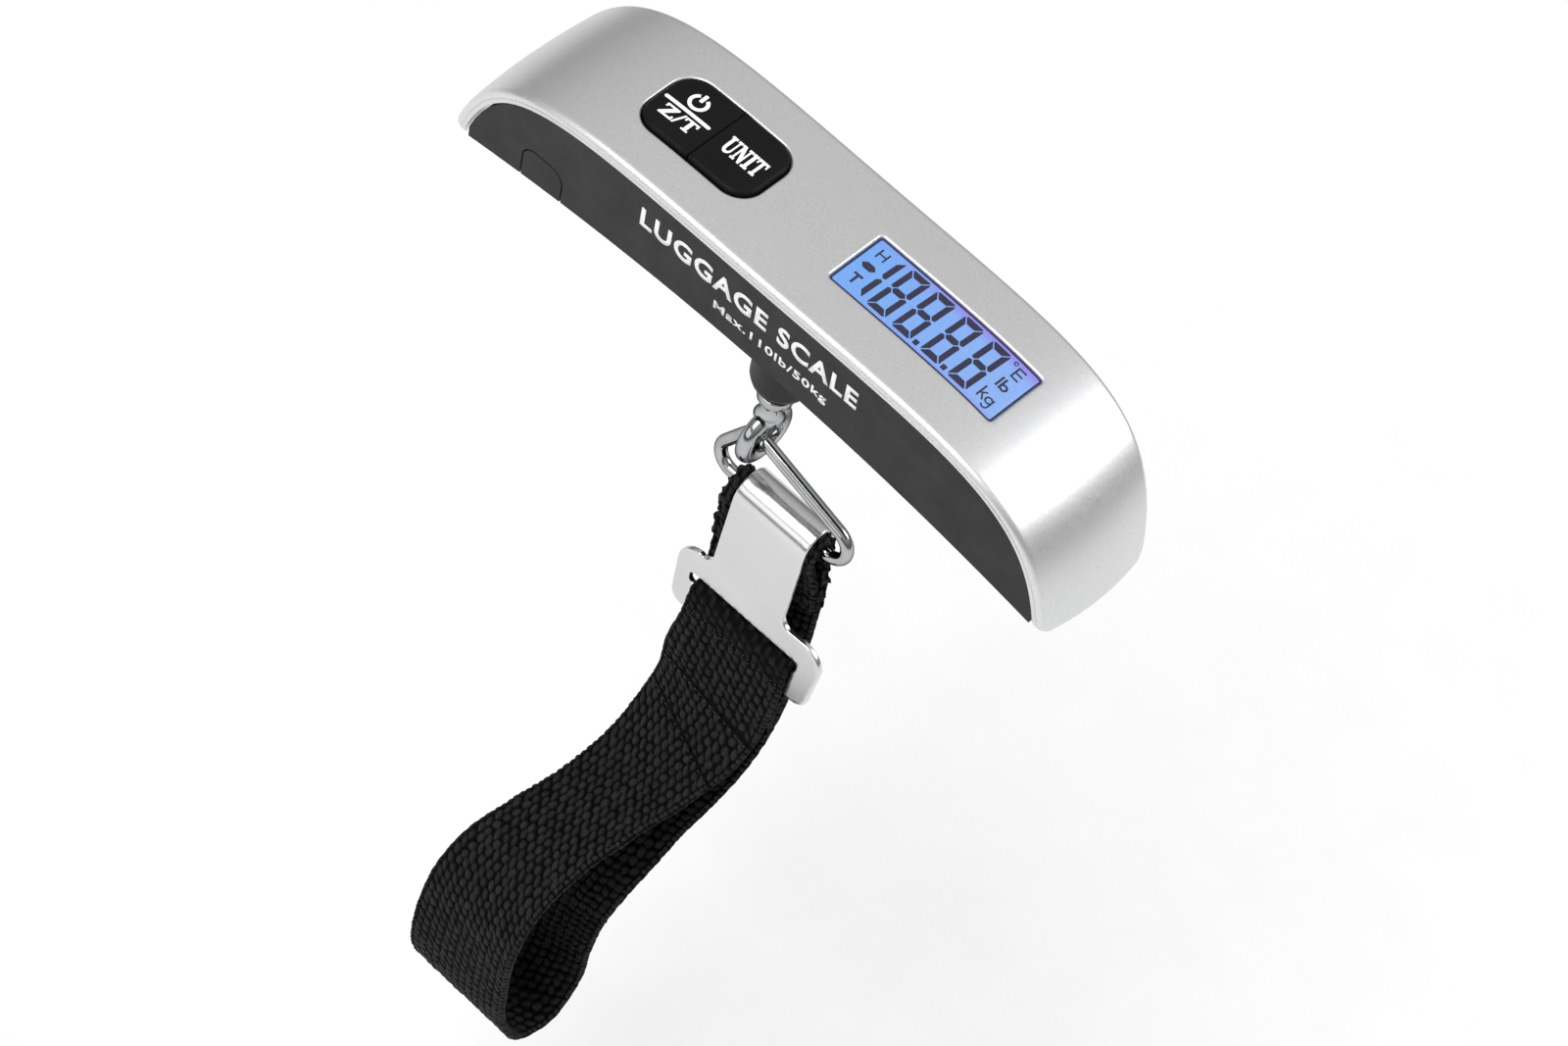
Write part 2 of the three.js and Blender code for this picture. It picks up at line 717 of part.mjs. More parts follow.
// ---------- Eye bolt ----------
function eyeBolt() {
  const ring = new THREE.TorusGeometry(EYE.radius, EYE.wire, 10, 28);
  ring.rotateY(Math.PI / 2).translate(0, 0, EYE.z);
  const shankEnd = EYE.z + EYE.radius;
  const shank = turned([
    [0, shankEnd - 0.9],
    [1.2, shankEnd - 0.9],
    [SHANK_RADIUS, shankEnd + 1.2],
    [SHANK_RADIUS, NECK_BOTTOM - 4.2],
    [3.3, NECK_BOTTOM - 3.9],
    [3.3, NECK_BOTTOM - 2.3],
    [SHANK_RADIUS, NECK_BOTTOM - 2.0],
    [SHANK_RADIUS, BEAM.z1 + 4.0],
    [SHANK_RADIUS - 0.4, BEAM.z1 + 4.4],
    [0, BEAM.z1 + 4.4],
  ]);
  return join(shank, ring);
}

function eyeNut() {
  const hexagon = new THREE.Shape();
  for (let i = 0; i < 6; i++) {
    const turn = (i * Math.PI) / 3;
    const corner = [3.9 * Math.cos(turn), 3.9 * Math.sin(turn)];
    if (i === 0) hexagon.moveTo(...corner);
    else hexagon.lineTo(...corner);
  }
  const z = BEAM.z1 + 2 * GAP + 0.6;
  return cut(slabAlongZ(hexagon, z, z + 2.6), rod(0, 0, SHANK_RADIUS + 0.25, z - 1, z + 4));
}

function eyePieces() {
  const washerZ = BEAM.z1 + GAP;
  const bushBottom = NECK_BOTTOM + 0.6;
  add("eye_bolt", eyeBolt(), "chrome");
  add("eye_nut", eyeNut(), "steel");
  add("eye_washer", collar(SHANK_RADIUS + 0.25, 4.2, washerZ, washerZ + 0.6), "steel");
  add("neck_bush", collar(SHANK_RADIUS + GAP, NECK_BORE - GAP, bushBottom, bushBottom + 9), "brass");
}

// ---------- Hanging ring ----------
// A three-cornered wire ring: straight sides that meet in three equal bends. The top bend hangs
// inside the eye, a gap above the eye's wire.
function ringCurve() {
  const topOfEyeWire = EYE.z - EYE.radius + EYE.wire;
  const corner = [
    new THREE.Vector3(0, 0, topOfEyeWire + GAP + RING.wire - RING.bend),
    new THREE.Vector3(RING.right, 0, RING.barZ + RING.bend),
    new THREE.Vector3(RING.left, 0, RING.barZ + RING.bend),
  ];
  const outwardOf = (from, to) => {
    const along = to.clone().sub(from).normalize();
    return Math.atan2(along.x, -along.z);
  };
  const side = corner.map((point, i) => outwardOf(point, corner[(i + 1) % 3]));
  const path = new THREE.CurvePath();
  const onCorner = (i, angle) =>
    corner[i]
      .clone()
      .add(new THREE.Vector3(Math.cos(angle), 0, Math.sin(angle)).multiplyScalar(RING.bend));
  class Bend extends THREE.Curve {
    constructor(index, start, end) {
      super();
      Object.assign(this, { index, start, end });
    }
    getPoint(t) {
      return onCorner(this.index, this.start + (this.end - this.start) * t);
    }
  }
  for (let i = 0; i < 3; i++) {
    const before = side[(i + 2) % 3];
    let after = side[i];
    while (after > before) after -= 2 * Math.PI;
    const next = (i + 1) % 3;
    path.add(new Bend(i, before, after));
    path.add(new THREE.LineCurve3(onCorner(i, after), onCorner(next, after)));
  }
  return path;
}

function triangleRing() {
  const curve = ringCurve();
  const perLoop = 10;
  const count = 48;
  const loops = [];
  for (let i = 0; i < count; i++) {
    const point = curve.getPointAt(i / count);
    const along = curve.getTangentAt(i / count);
    const outward = new THREE.Vector3(-along.z, 0, along.x);
    const loop = [];
    for (let k = 0; k < perLoop; k++) {
      const turn = (2 * Math.PI * k) / perLoop;
      const offset = outward.clone().multiplyScalar(RING.wire * Math.cos(turn));
      offset.y += RING.wire * Math.sin(turn);
      loop.push(point.clone().add(offset));
    }
    loops.push(loop);
  }
  return closedLoft(loops);
}

// A closed body through loops of points that come back to the first loop.
function closedLoft(loops) {
  const perLoop = loops[0].length;
  const positions = loops.flat().flatMap((point) => [point.x, point.y, point.z]);
  const faces = [];
  for (let row = 0; row < loops.length; row++)
    for (let side = 0; side < perLoop; side++) {
      const next = ((row + 1) % loops.length) * perLoop;
      const a = row * perLoop + side;
      const b = row * perLoop + ((side + 1) % perLoop);
      const [c, d] = [next + ((side + 1) % perLoop), next + side];
      faces.push(a, b, c, a, c, d);
    }
  const geometry = new THREE.BufferGeometry();
  geometry.setAttribute("position", new THREE.Float32BufferAttribute(positions, 3));
  geometry.setIndex(faces);
  return facingOut(geometry);
}

// ---------- Hook plate ----------
// Side view of the plate: down the front, over the bar, and down behind it as the hook's lip,
// which leans away from the webbing so that the hook can swing forward.
function plateProfile() {
  const { bendInner, thickness, bottom, lipLength, lipFlare } = PLATE;
  const outer = bendInner + thickness;
  const onLip = (radius, length) => [
    radius * Math.cos(lipFlare) + length * Math.sin(lipFlare),
    RING.barZ + radius * Math.sin(lipFlare) - length * Math.cos(lipFlare),
  ];
  const shape = new THREE.Shape();
  shape.moveTo(-outer, bottom);
  shape.lineTo(-bendInner, bottom);
  shape.lineTo(-bendInner, RING.barZ);
  shape.absarc(0, RING.barZ, bendInner, Math.PI, lipFlare, true);
  shape.lineTo(...onLip(bendInner, lipLength));
  shape.lineTo(...onLip(outer, lipLength));
  shape.lineTo(...onLip(outer, 0));
  shape.absarc(0, RING.barZ, outer, lipFlare, Math.PI, false);
  return shape;
}

// Front view of the plate: a straight neck that widens into rounded ears and a slotted frame.
function plateOutline() {
  const { neckMiddle, neckHalf, neckBottom, frameMiddle, frameHalf, frameTop, bottom } = PLATE;
  const shape = new THREE.Shape();
  const earRadius = 4.6;
  const fillet = 2.2;
  const [neckLeft, neckRight] = [neckMiddle - neckHalf, neckMiddle + neckHalf];
  const [left, right] = [frameMiddle - frameHalf, frameMiddle + frameHalf];
  shape.moveTo(neckLeft, -30);
  shape.lineTo(neckLeft, neckBottom);
  shape.absarc(neckLeft - fillet, neckBottom, fillet, 0, -Math.PI / 2, true);
  shape.lineTo(left + earRadius, frameTop + 0.1);
  shape.absarc(left + earRadius, frameTop - earRadius, earRadius, Math.PI / 2, Math.PI, false);
  shape.lineTo(left + 0.6, bottom + 3.5);
  shape.absarc(left + 3.6, bottom + 3, 3, Math.PI, 1.5 * Math.PI, false);
  shape.lineTo(right - 3.6, bottom);
  shape.absarc(right - 3.6, bottom + 3, 3, -Math.PI / 2, 0, false);
  shape.lineTo(right, frameTop - earRadius);
  shape.absarc(right - earRadius, frameTop - earRadius, earRadius, 0, Math.PI / 2, false);
  shape.lineTo(neckRight + fillet, frameTop + 0.1);
  shape.absarc(neckRight + fillet, neckBottom, fillet, -Math.PI / 2, -Math.PI, true);
  shape.lineTo(neckRight, -30);
  return shape;
}

function hookPlate() {
  const bent = new THREE.ExtrudeGeometry(plateProfile(), {
    depth: 2 * PLATE.frameHalf + 2,
    bevelEnabled: false,
    curveSegments: 10,
  });
  // Drawn in Y and Z, so turn its drawing plane to Y-Z and its depth to X.
  const turn = new THREE.Matrix4().makeBasis(
    new THREE.Vector3(0, 1, 0),
    new THREE.Vector3(0, 0, 1),
    new THREE.Vector3(1, 0, 0),
  );
  bent.applyMatrix4(turn).translate(-PLATE.frameHalf - 1, 0, 0);
  const blank = new THREE.ExtrudeGeometry(plateOutline(), {
    depth: 20,
    bevelEnabled: false,
    curveSegments: 6,
  });
  blank.rotateX(Math.PI / 2).translate(0, 10, 0);
  const { slotHalf, slotBottom, slotTop } = PLATE;
  const slot = roundedRectangle(-slotHalf, slotHalf, slotBottom, slotTop, 1.0);
  return cut(common(bent, blank), slabAlongY(slot, -10, 0)).translate(HANG_X, 0, 0);
}

// ---------- Webbing ----------
// A strip along stations of [x, y, z, twist in degrees, width]. Its width lies along X, turned
// about the strip's own direction by the twist.
function webStrip(stations, steps) {
  const centres = stations.map(([x, y, z]) => new THREE.Vector3(x, y, z));
  const centre = new THREE.CatmullRomCurve3(centres);
  const last = stations.length - 1;
  const between = (t, column) => {
    const place = Math.min(t * last, last - 1e-6);
    const i = Math.floor(place);
    return THREE.MathUtils.lerp(stations[i][column], stations[i + 1][column], place - i);
  };
  const loops = [];
  for (let i = 0; i <= steps; i++) {
    const t = i / steps;
    const point = centre.getPoint(t);
    const along = centre.getTangent(t);
    const across = new THREE.Vector3(1, 0, 0).addScaledVector(along, -along.x).normalize();
    across.applyAxisAngle(along, THREE.MathUtils.degToRad(between(t, 3)));
    const through = along.clone().cross(across);
    const half = between(t, 4) / 2;
    const corner = (u, v) =>
      point
        .clone()
        .addScaledVector(across, u * half)
        .addScaledVector(through, (v * WEB_THICKNESS) / 2);
    loops.push([corner(-1, -1), corner(1, -1), corner(1, 1), corner(-1, 1)]);
  }
  return loft(loops);
}

const WRAP = RING.wire + GAP + WEB_THICKNESS / 2; // radius of the webbing's middle round the bar

// Stations round a bar along X, from the front of the bar over its top to the back.
function overBar(x, y, z, radius, width) {
  const count = 6;
  const stations = [];
  for (let i = 0; i <= count; i++) {
    const turn = Math.PI * (1 - i / count);
    stations.push([x, y + radius * Math.cos(turn), z + radius * Math.sin(turn), 0, width]);
  }
  return stations;
}

// From the sewn end in front of the back run, over the ring's bar, down the back, round the
// bottom of the loop and up the front to just below the hook plate.
function strapLoop() {
  const barX = 8.3;
  const stations = [
    [8.3, 0.45, -58, 0, 24.2],
    [8.0, 0.2, -53, 0, 23.6],
    [7.8, -0.9, -48, 0, 22.6],
    [8.1, -WRAP, -44, 0, 21.6],
    ...overBar(barX, 0, RING.barZ, WRAP, 21.2),
    [8.1, WRAP, -45, 0, 22],
    [8.2, WRAP, -52, 0, 24.2],
    [8.2, WRAP, -60, 0, WEB_WIDTH],
    [8.5, WRAP, -70, 0, WEB_WIDTH],
    [8.4, 2.0, -80, 0, WEB_WIDTH],
    [8.3, 1.6, -90, 3, WEB_WIDTH],
    [7.8, 0.2, -101, 9, WEB_WIDTH],
    [6.6, -3.2, -111, 14, WEB_WIDTH],
    [5.0, -8.4, -119.5, 15, WEB_WIDTH],
    [4.0, -14.0, -126.5, 14, WEB_WIDTH],
    [2.4, -18.8, -134, 10, WEB_WIDTH],
    [0.6, -21.6, -143, 5, WEB_WIDTH],
    [-0.6, -21.9, -154, 2, WEB_WIDTH],
    [-1.0, -22.0, -165, 0, WEB_WIDTH],
    [-1.4, -26.6, -173.4, 0, WEB_WIDTH],
    [-2.2, -33.8, -173.4, 0, WEB_WIDTH],
    [-3.0, -39.4, -165, -2, WEB_WIDTH],
    [-3.2, -41.6, -151, -6, WEB_WIDTH],
    [-2.6, -41.2, -137.5, -14, WEB_WIDTH],
    [-1.5, -37.2, -128.5, -22, WEB_WIDTH],
    [0.4, -29.9, -122.2, -28, WEB_WIDTH],
    [2.9, -21.5, -117, -30, WEB_WIDTH],
    [5.2, -13.8, -110.6, -28, WEB_WIDTH],
    [7.3, -8.6, -102, -21, WEB_WIDTH],
    [9.2, -5.9, -93.5, -11, WEB_WIDTH],
    [9.7, -5.3, -88.5, -4, WEB_WIDTH],
  ];
  return webStrip(stations, 84);
}

// The webbing's other end, folded through the plate's slot and sewn to itself below the plate.
function hookLoop() {
  const middleY = -PLATE.bendInner - PLATE.thickness / 2;
  const radius = PLATE.thickness / 2 + GAP + WEB_THICKNESS / 2;
  const stations = [
    [9.8, -6.0, -87.2, 0, WEB_WIDTH],
    [9.9, -6.0, -83, 0, WEB_WIDTH],
    [HANG_X, middleY - radius - 0.2, -77, 0, WEB_WIDTH],
    ...overBar(HANG_X, middleY, PLATE.slotBottom, radius, WEB_WIDTH),
    [HANG_X, middleY + radius, -76, 0, WEB_WIDTH],
    [9.9, -3.8, -82, 0, WEB_WIDTH],
    [9.8, -4.35, -87.2, 0, WEB_WIDTH],
  ];
  return webStrip(stations, 40);
}

// ---------- Battery ----------
function batteryPieces() {
  const bevel = 0.4;
  const cell = turned([
    [0, CELL.z0],
    [CELL.radius - 1.5, CELL.z0],
    [CELL.radius - 1.5, CELL.z0 + 0.3],
    [CELL.radius - bevel, CELL.z0 + 0.3],
    [CELL.radius, CELL.z0 + 0.3 + bevel],
    [CELL.radius, CELL.z1 - bevel],
    [CELL.radius - bevel, CELL.z1],
    [0, CELL.z1],
  ]);
  add("coin_cell", cell.translate(CELL.x, 0, 0), "steel");
  const clipX = CELL.x + CELL.radius + GAP;
  add("contact_positive", box(clipX, clipX + 0.4, -4, 4, CELL.z0, CELL.z1 + 2.4), "brass");
  const leafZ = CELL.z1 + GAP;
  const leaf = join(
    rod(CELL.x, 0, 5, leafZ, leafZ + 0.4, 20),
    box(CELL.x, CELL.x + 9, -1.5, 1.5, leafZ, leafZ + 0.4),
  );
  add("contact_negative", leaf, "brass");
}

function leads() {
  const routes = {
    lead_positive: [
      [-36, 2.5, 12.2],
      [-35.2, 2.6, 14],
      [-33.6, 4, 16.2],
      [-31, 5, 18.6],
    ],
    lead_negative: [
      [-43.5, 0, 11.7],
      [-42, -2, 13],
      [-37, -6, 15.5],
      [-33, -7, 18.6],
    ],
    gauge_lead: [
      [-12, 2.6, 16.4],
      [-11, 5, 17.2],
      [-9, 7, 17.9],
      [-8, 7.6, 18.9],
    ],
  };
  for (const [name, points] of Object.entries(routes)) {
    const curve = new THREE.CatmullRomCurve3(points.map((point) => new THREE.Vector3(...point)));
    add(name, wire(curve, 0.45, 10, 6), name === "lead_negative" ? "blackWire" : "redWire");
  }
}

// ---------- Assembly ----------
function shellScrews() {
  corners.forEach(([sx, sy], i) => {
    const seat = headSeat() - GAP;
    const inverted = panScrew(SHELL_SCREW, 0, -SHELL_SCREW.length).rotateX(Math.PI);
    const placed = inverted.translate(sx * SHELL_SCREW.x, sy * SHELL_SCREW.y, seat);
    add(`housing_screw_${i + 1}`, placed, "steel");
  });
}

add("top_cover", topCover(), "silver");
add("lower_housing", lowerHousing(), "black");
add("battery_door", batteryDoor(), "black");
add("power_key", keyCap(-1), "key");
add("unit_key", keyCap(1), "key");
add("key_mat", keyMat(), "rubber");
add("tact_switch_power", tactSwitch(-1), "chip");
add("tact_switch_unit", tactSwitch(1), "chip");
add("lcd_window", lcdWindow(), "clear");
lcdPieces();
add("main_board", mainBoard(), "board");
chips();
loadCellPieces();
eyePieces();
add("triangle_ring", triangleRing(), "chrome");
add("hook_plate", hookPlate(), "steel");
add("strap", strapLoop(), "webbing");
add("hook_loop", hookLoop(), "webbing");
batteryPieces();
leads();
shellScrews();

export default model;
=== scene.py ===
"""Looks of the hand-held digital luggage scale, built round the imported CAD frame.

Lengths in the constants are millimetres and become metres through MM. X runs along the grip,
+Z is up and the printed side faces -Y, as in the frame.
"""

import math

import bmesh
import bpy
import numpy as np
from mathutils import Matrix, Vector, geometry


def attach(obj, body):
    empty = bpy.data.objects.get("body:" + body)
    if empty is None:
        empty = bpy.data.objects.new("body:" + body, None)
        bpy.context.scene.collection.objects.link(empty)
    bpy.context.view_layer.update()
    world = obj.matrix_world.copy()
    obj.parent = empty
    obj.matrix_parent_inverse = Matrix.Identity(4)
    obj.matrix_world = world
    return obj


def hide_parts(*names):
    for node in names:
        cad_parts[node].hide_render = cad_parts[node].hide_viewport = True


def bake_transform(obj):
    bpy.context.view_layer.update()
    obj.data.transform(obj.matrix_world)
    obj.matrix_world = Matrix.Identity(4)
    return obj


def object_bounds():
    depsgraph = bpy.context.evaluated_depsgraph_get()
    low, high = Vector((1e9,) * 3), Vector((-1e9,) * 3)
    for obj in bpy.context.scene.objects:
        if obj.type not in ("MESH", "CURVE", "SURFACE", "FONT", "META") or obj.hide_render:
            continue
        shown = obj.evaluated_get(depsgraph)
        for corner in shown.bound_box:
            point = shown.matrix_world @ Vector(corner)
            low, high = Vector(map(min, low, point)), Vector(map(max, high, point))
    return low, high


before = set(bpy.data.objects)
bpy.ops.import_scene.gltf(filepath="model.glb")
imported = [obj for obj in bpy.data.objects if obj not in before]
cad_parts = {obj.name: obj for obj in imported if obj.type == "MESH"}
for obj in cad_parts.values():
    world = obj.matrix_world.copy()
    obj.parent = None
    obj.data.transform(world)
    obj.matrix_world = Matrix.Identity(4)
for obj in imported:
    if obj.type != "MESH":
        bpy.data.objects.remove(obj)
cad_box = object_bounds()

MM = 0.001

# ---------- Dimensions shared with the CAD parts ----------
HALF_LENGTH = 69.4
GRIP_HEIGHT = 29.3
GRIP_WIDTH = 33.8
SIDE_LEAN = 0.13
COVER_WALL = 2.4
TIP_CORNER = 4.0
MIDDLE_CROWN = 0.3
TIP_CROWN = 1.4
WINDOW = {"x": (6.0, 43.5), "half": 6.9, "corner": 0.8}
KEYS = {"x": (-39.3, -13.2), "half": 7.9, "corner": 5.0, "proud": 0.7}
KEY_FIT = 0.35
EYE_Z, EYE_RADIUS, EYE_WIRE = -26.0, 4.9, 1.6
NECK_BOTTOM = -12.1
SHANK_RADIUS = 2.0
RING = {"wire": 1.25, "bend": 3.8, "left": -3.3, "right": 19.2, "bar": -41.0}
GAP = 0.3
HANG_X = 10.2
PLATE = {
    "thickness": 1.2,
    "bend": 3.15,
    "lip_length": 5.0,
    "lip_flare": math.radians(22),
    "neck_middle": -1.1,
    "neck_half": 8.5,
    "neck_bottom": -58.4,
    "frame_middle": 0.6,
    "frame_half": 17.1,
    "frame_top": -60.4,
    "slot_half": 12.9,
    "slot_top": -66.3,
    "slot_bottom": -68.9,
    "bottom": -76.2,
}
WEB_WIDTH = 25.0
WEB_THICKNESS = 1.3
WRAP = RING["wire"] + GAP + WEB_THICKNESS / 2


# ---------- Camera ----------
def make_camera():
    data = bpy.data.cameras.new("camera")
    data.lens = 182.32
    data.sensor_width = 36.0
    data.clip_start, data.clip_end = 0.05, 50.0
    camera = linked("camera", data)
    right = Vector((0.71998, 0.66449, 0.2002))
    up = Vector((-0.63037, 0.50552, 0.58913))
    back = Vector((0.29027, -0.55037, 0.78284))
    turn = Matrix((right, up, back)).transposed().to_4x4()
    camera.matrix_world = Matrix.Translation((0.4102, -0.7598, 1.0382)) @ turn
    bpy.context.scene.camera = camera


# ---------- Materials ----------
def material(name, **sockets):
    """A Principled material; each keyword is a socket, with _ for a space."""
    made = bpy.data.materials.new(name)
    made.use_nodes = True
    shader = made.node_tree.nodes["Principled BSDF"]
    for socket, value in sockets.items():
        if isinstance(value, tuple) and len(value) == 3:
            value = (*value, 1.0)
        shader.inputs[socket.replace("_", " ")].default_value = value
    return made


def node(made, kind, **settings):
    """A node; each keyword is a socket, with _ for a space, or one of the node's own settings."""
    new = made.node_tree.nodes.new(kind)
    for setting, value in settings.items():
        socket = setting.replace("_", " ")
        if socket not in new.inputs:
            setattr(new, setting, value)
        elif isinstance(value, bpy.types.NodeSocket):
            made.node_tree.links.new(value, new.inputs[socket])
        else:
            new.inputs[socket].default_value = value
    return new


def shader_of(made):
    return made.node_tree.nodes["Principled BSDF"]


def feed(made, output, socket):
    made.node_tree.links.new(output, shader_of(made).inputs[socket])


def places(made):
    return node(made, "ShaderNodeTexCoord").outputs["Object"]


def stretched(made, source, scale):
    return node(made, "ShaderNodeMapping", Vector=source, Scale=scale).outputs["Vector"]


def noise(made, source, scale, detail=3.0, roughness=0.55):
    look = {"Scale": scale, "Detail": detail, "Roughness": roughness}
    return node(made, "ShaderNodeTexNoise", Vector=source, **look).outputs["Fac"]


def ramp(made, source, *stops):
    """Colours or greys along source; each stop is (place, grey) or (place, (r, g, b))."""
    new = node(made, "ShaderNodeValToRGB", Fac=source)
    points = new.color_ramp.elements
    while len(points) < len(stops):
        points.new(0.5)
    for point, (place, colour) in zip(points, stops):
        rgb = colour if isinstance(colour, tuple) else (colour,) * 3
        point.position = place
        point.color = (*rgb, 1.0)
    return new.outputs["Color"]


def between(made, source, low, high):
    """Where source lies from low to high, as 0 to 1."""
    new = node(made, "ShaderNodeMapRange", Value=source, From_Min=low, From_Max=high)
    return new.outputs["Result"]


def mixed(made, how, factor, a, b):
    """Colour b over colour a by factor; how is Blender's name for the blend."""
    new = node(made, "ShaderNodeMix", data_type="RGBA", blend_type=how, Factor=factor, A=a, B=b)
    return new.outputs["Result"]


def bump(made, height, distance, strength=1.0):
    new = node(made, "ShaderNodeBump", Height=height, Distance=distance, Strength=strength)
    return new.outputs["Normal"]


def moulded(name, dark, light, roughness, grain, depth, **sockets):
    """Moulded or cast stuff: a slow drift of tone from dark to light, a drift of gloss and a fine
    surface grain. grain is its frequency per metre and depth its height in metres."""
    made = material(name, **sockets)
    at = places(made)
    feed(made, ramp(made, noise(made, at, 60.0), (0.3, dark), (0.7, light)), "Base Color")
    low, high = roughness
    feed(made, ramp(made, noise(made, at, 140.0, 5.0), (0.3, low), (0.7, high)), "Roughness")
    feed(made, bump(made, noise(made, at, grain, 2.0), depth), "Normal")
    return made


def silver_paint():
    """Satin silver paint over moulded plastic, with a fine metallic grain."""
    made = material("silver_paint", Metallic=0.82, Coat_Weight=0.12, Coat_Roughness=0.25)
    at = places(made)
    flakes = noise(made, at, 4200.0, 2.0, 0.8)
    tone = ramp(made, flakes, (0.32, (0.60, 0.603, 0.61)), (0.68, (0.75, 0.753, 0.76)))
    feed(made, tone, "Base Color")
    patches = noise(made, at, 1500.0, 3.0)
    feed(made, ramp(made, patches, (0.3, 0.33), (0.7, 0.41)), "Roughness")
    feed(made, bump(made, flakes, 0.000012, 0.4), "Normal")
    return made


def brushed_plate():
    """Smooth pressed steel with faint rolling lines along the sheet."""
    made = material("pressed_steel", Metallic=1.0)
    at = places(made)
    lines = noise(made, stretched(made, at, (1.0, 1.0, 0.06)), 1400.0, 2.0)
    cloud = noise(made, at, 70.0, 2.0)
    feed(made, ramp(made, cloud, (0.3, (0.63, 0.63, 0.635)), (0.7, (0.67, 0.67, 0.675))), "Base Color")
    feed(made, ramp(made, lines, (0.3, 0.20), (0.7, 0.24)), "Roughness")
    feed(made, bump(made, lines, 0.0000012, 0.3), "Normal")
    return made


def chrome_plate():
    """Polished chrome that darkens toward its outlines."""
    made = material("chrome_plate", Metallic=1.0, Specular_Tint=(0.10, 0.10, 0.105))
    at = places(made)
    cloud = noise(made, at, 160.0, 4.0)
    feed(made, ramp(made, cloud, (0.3, (0.38, 0.385, 0.39)), (0.7, (0.50, 0.505, 0.51))), "Base Color")
    feed(made, ramp(made, cloud, (0.35, 0.05), (0.75, 0.12)), "Roughness")
    feed(made, bump(made, noise(made, at, 300.0, 2.0), 0.000012, 0.2), "Normal")
    return made


def display_light():
    """Blue backlight, a little violet along the two long edges, with the light film's grain."""
    made = material("display_light", Roughness=0.25, Base_Color=(0.02, 0.04, 0.12))
    at = places(made)
    spot = node(made, "ShaderNodeSeparateXYZ", Vector=at).outputs
    half = WINDOW["half"] * MM
    violet_starts, violet_full = 0.012, 0.026  # metres along X
    left, right = 0.006, 0.044
    width = between(made, spot["Y"], -half, half)
    edges = ramp(made, width, (0.0, 0.55), (0.10, 0.0), (0.78, 0.0), (0.97, 1.0))
    tinting = between(made, spot["X"], violet_starts, violet_full)
    along = ramp(made, tinting, (0.0, 0.25), (1.0, 1.0))
    share = node(made, "ShaderNodeMath", operation="MULTIPLY")
    for socket, value in zip(share.inputs, (edges, along)):
        made.node_tree.links.new(value, socket)
    length = between(made, spot["X"], left, right)
    blue = ramp(made, length, (0.0, (0.19, 0.44, 0.94)), (1.0, (0.30, 0.49, 0.94)))
    tinted = mixed(made, "MIX", share.outputs["Value"], blue, (0.32, 0.25, 0.84, 1.0))
    grain = ramp(made, noise(made, at, 1500.0, 1.0), (0.3, 0.93), (0.7, 1.0))
    feed(made, mixed(made, "MULTIPLY", 1.0, tinted, grain), "Emission Color")
    shader_of(made).inputs["Emission Strength"].default_value = 1.0
    feed(made, bump(made, noise(made, at, 900.0, 1.0), 0.000005, 0.3), "Normal")
    return made


def webbing_yarn():
    """Black polypropylene yarn: fine filaments along each float, soft sheen, and painted shade: the
    colour is near black in the gaps between floats and lighter on their tops.
    """
    made = material("webbing_yarn", Specular_IOR_Level=0.07)
    flat = node(made, "ShaderNodeUVMap").outputs["UV"]
    filaments = noise(made, stretched(made, flat, (5200.0, 900.0, 1.0)), 1.0, 3.0, 0.6)
    cloud = noise(made, stretched(made, flat, (260.0, 260.0, 1.0)), 1.0, 3.0)
    height = node(made, "ShaderNodeAttribute", attribute_name="weave").outputs["Fac"]
    # Painted shade: the colour follows the stored weave height, near black where the floats sink (the
    # gaps, the hem folds, the taut run over the hook's bar) and lightest on the float tops.
    tone = ramp(made, height, (0.14, 0.0002), (0.40, 0.0035), (0.66, 0.018), (1.0, 0.030))
    # The filament streaks in the colour are partly the yarn's own streaky tone and partly painted
    # highlight along the fibres of each float.
    shade = ramp(made, filaments, (0.3, 0.4), (0.7, 1.0))
    feed(made, mixed(made, "MULTIPLY", 1.0, tone, shade), "Base Color")
    feed(made, ramp(made, cloud, (0.3, 0.48), (0.7, 0.66)), "Roughness")
    feed(made, bump(made, filaments, 0.0001, 0.9), "Normal")
    return made


def clear_window():
    """The thin clear cover over the display, with a faint blue cloud in it."""
    made = material("clear_window", Roughness=0.12, Alpha=0.08, IOR=1.49)
    cloud = noise(made, places(made), 120.0)
    feed(made, ramp(made, cloud, (0.3, (0.05, 0.06, 0.10)), (0.7, (0.07, 0.08, 0.12))), "Base Color")
    return made


MATERIALS = {}
METAL = {"Metallic": 1.0}
DARK_SIGN = (0.018, 0.014, 0.05), (0.024, 0.018, 0.062)
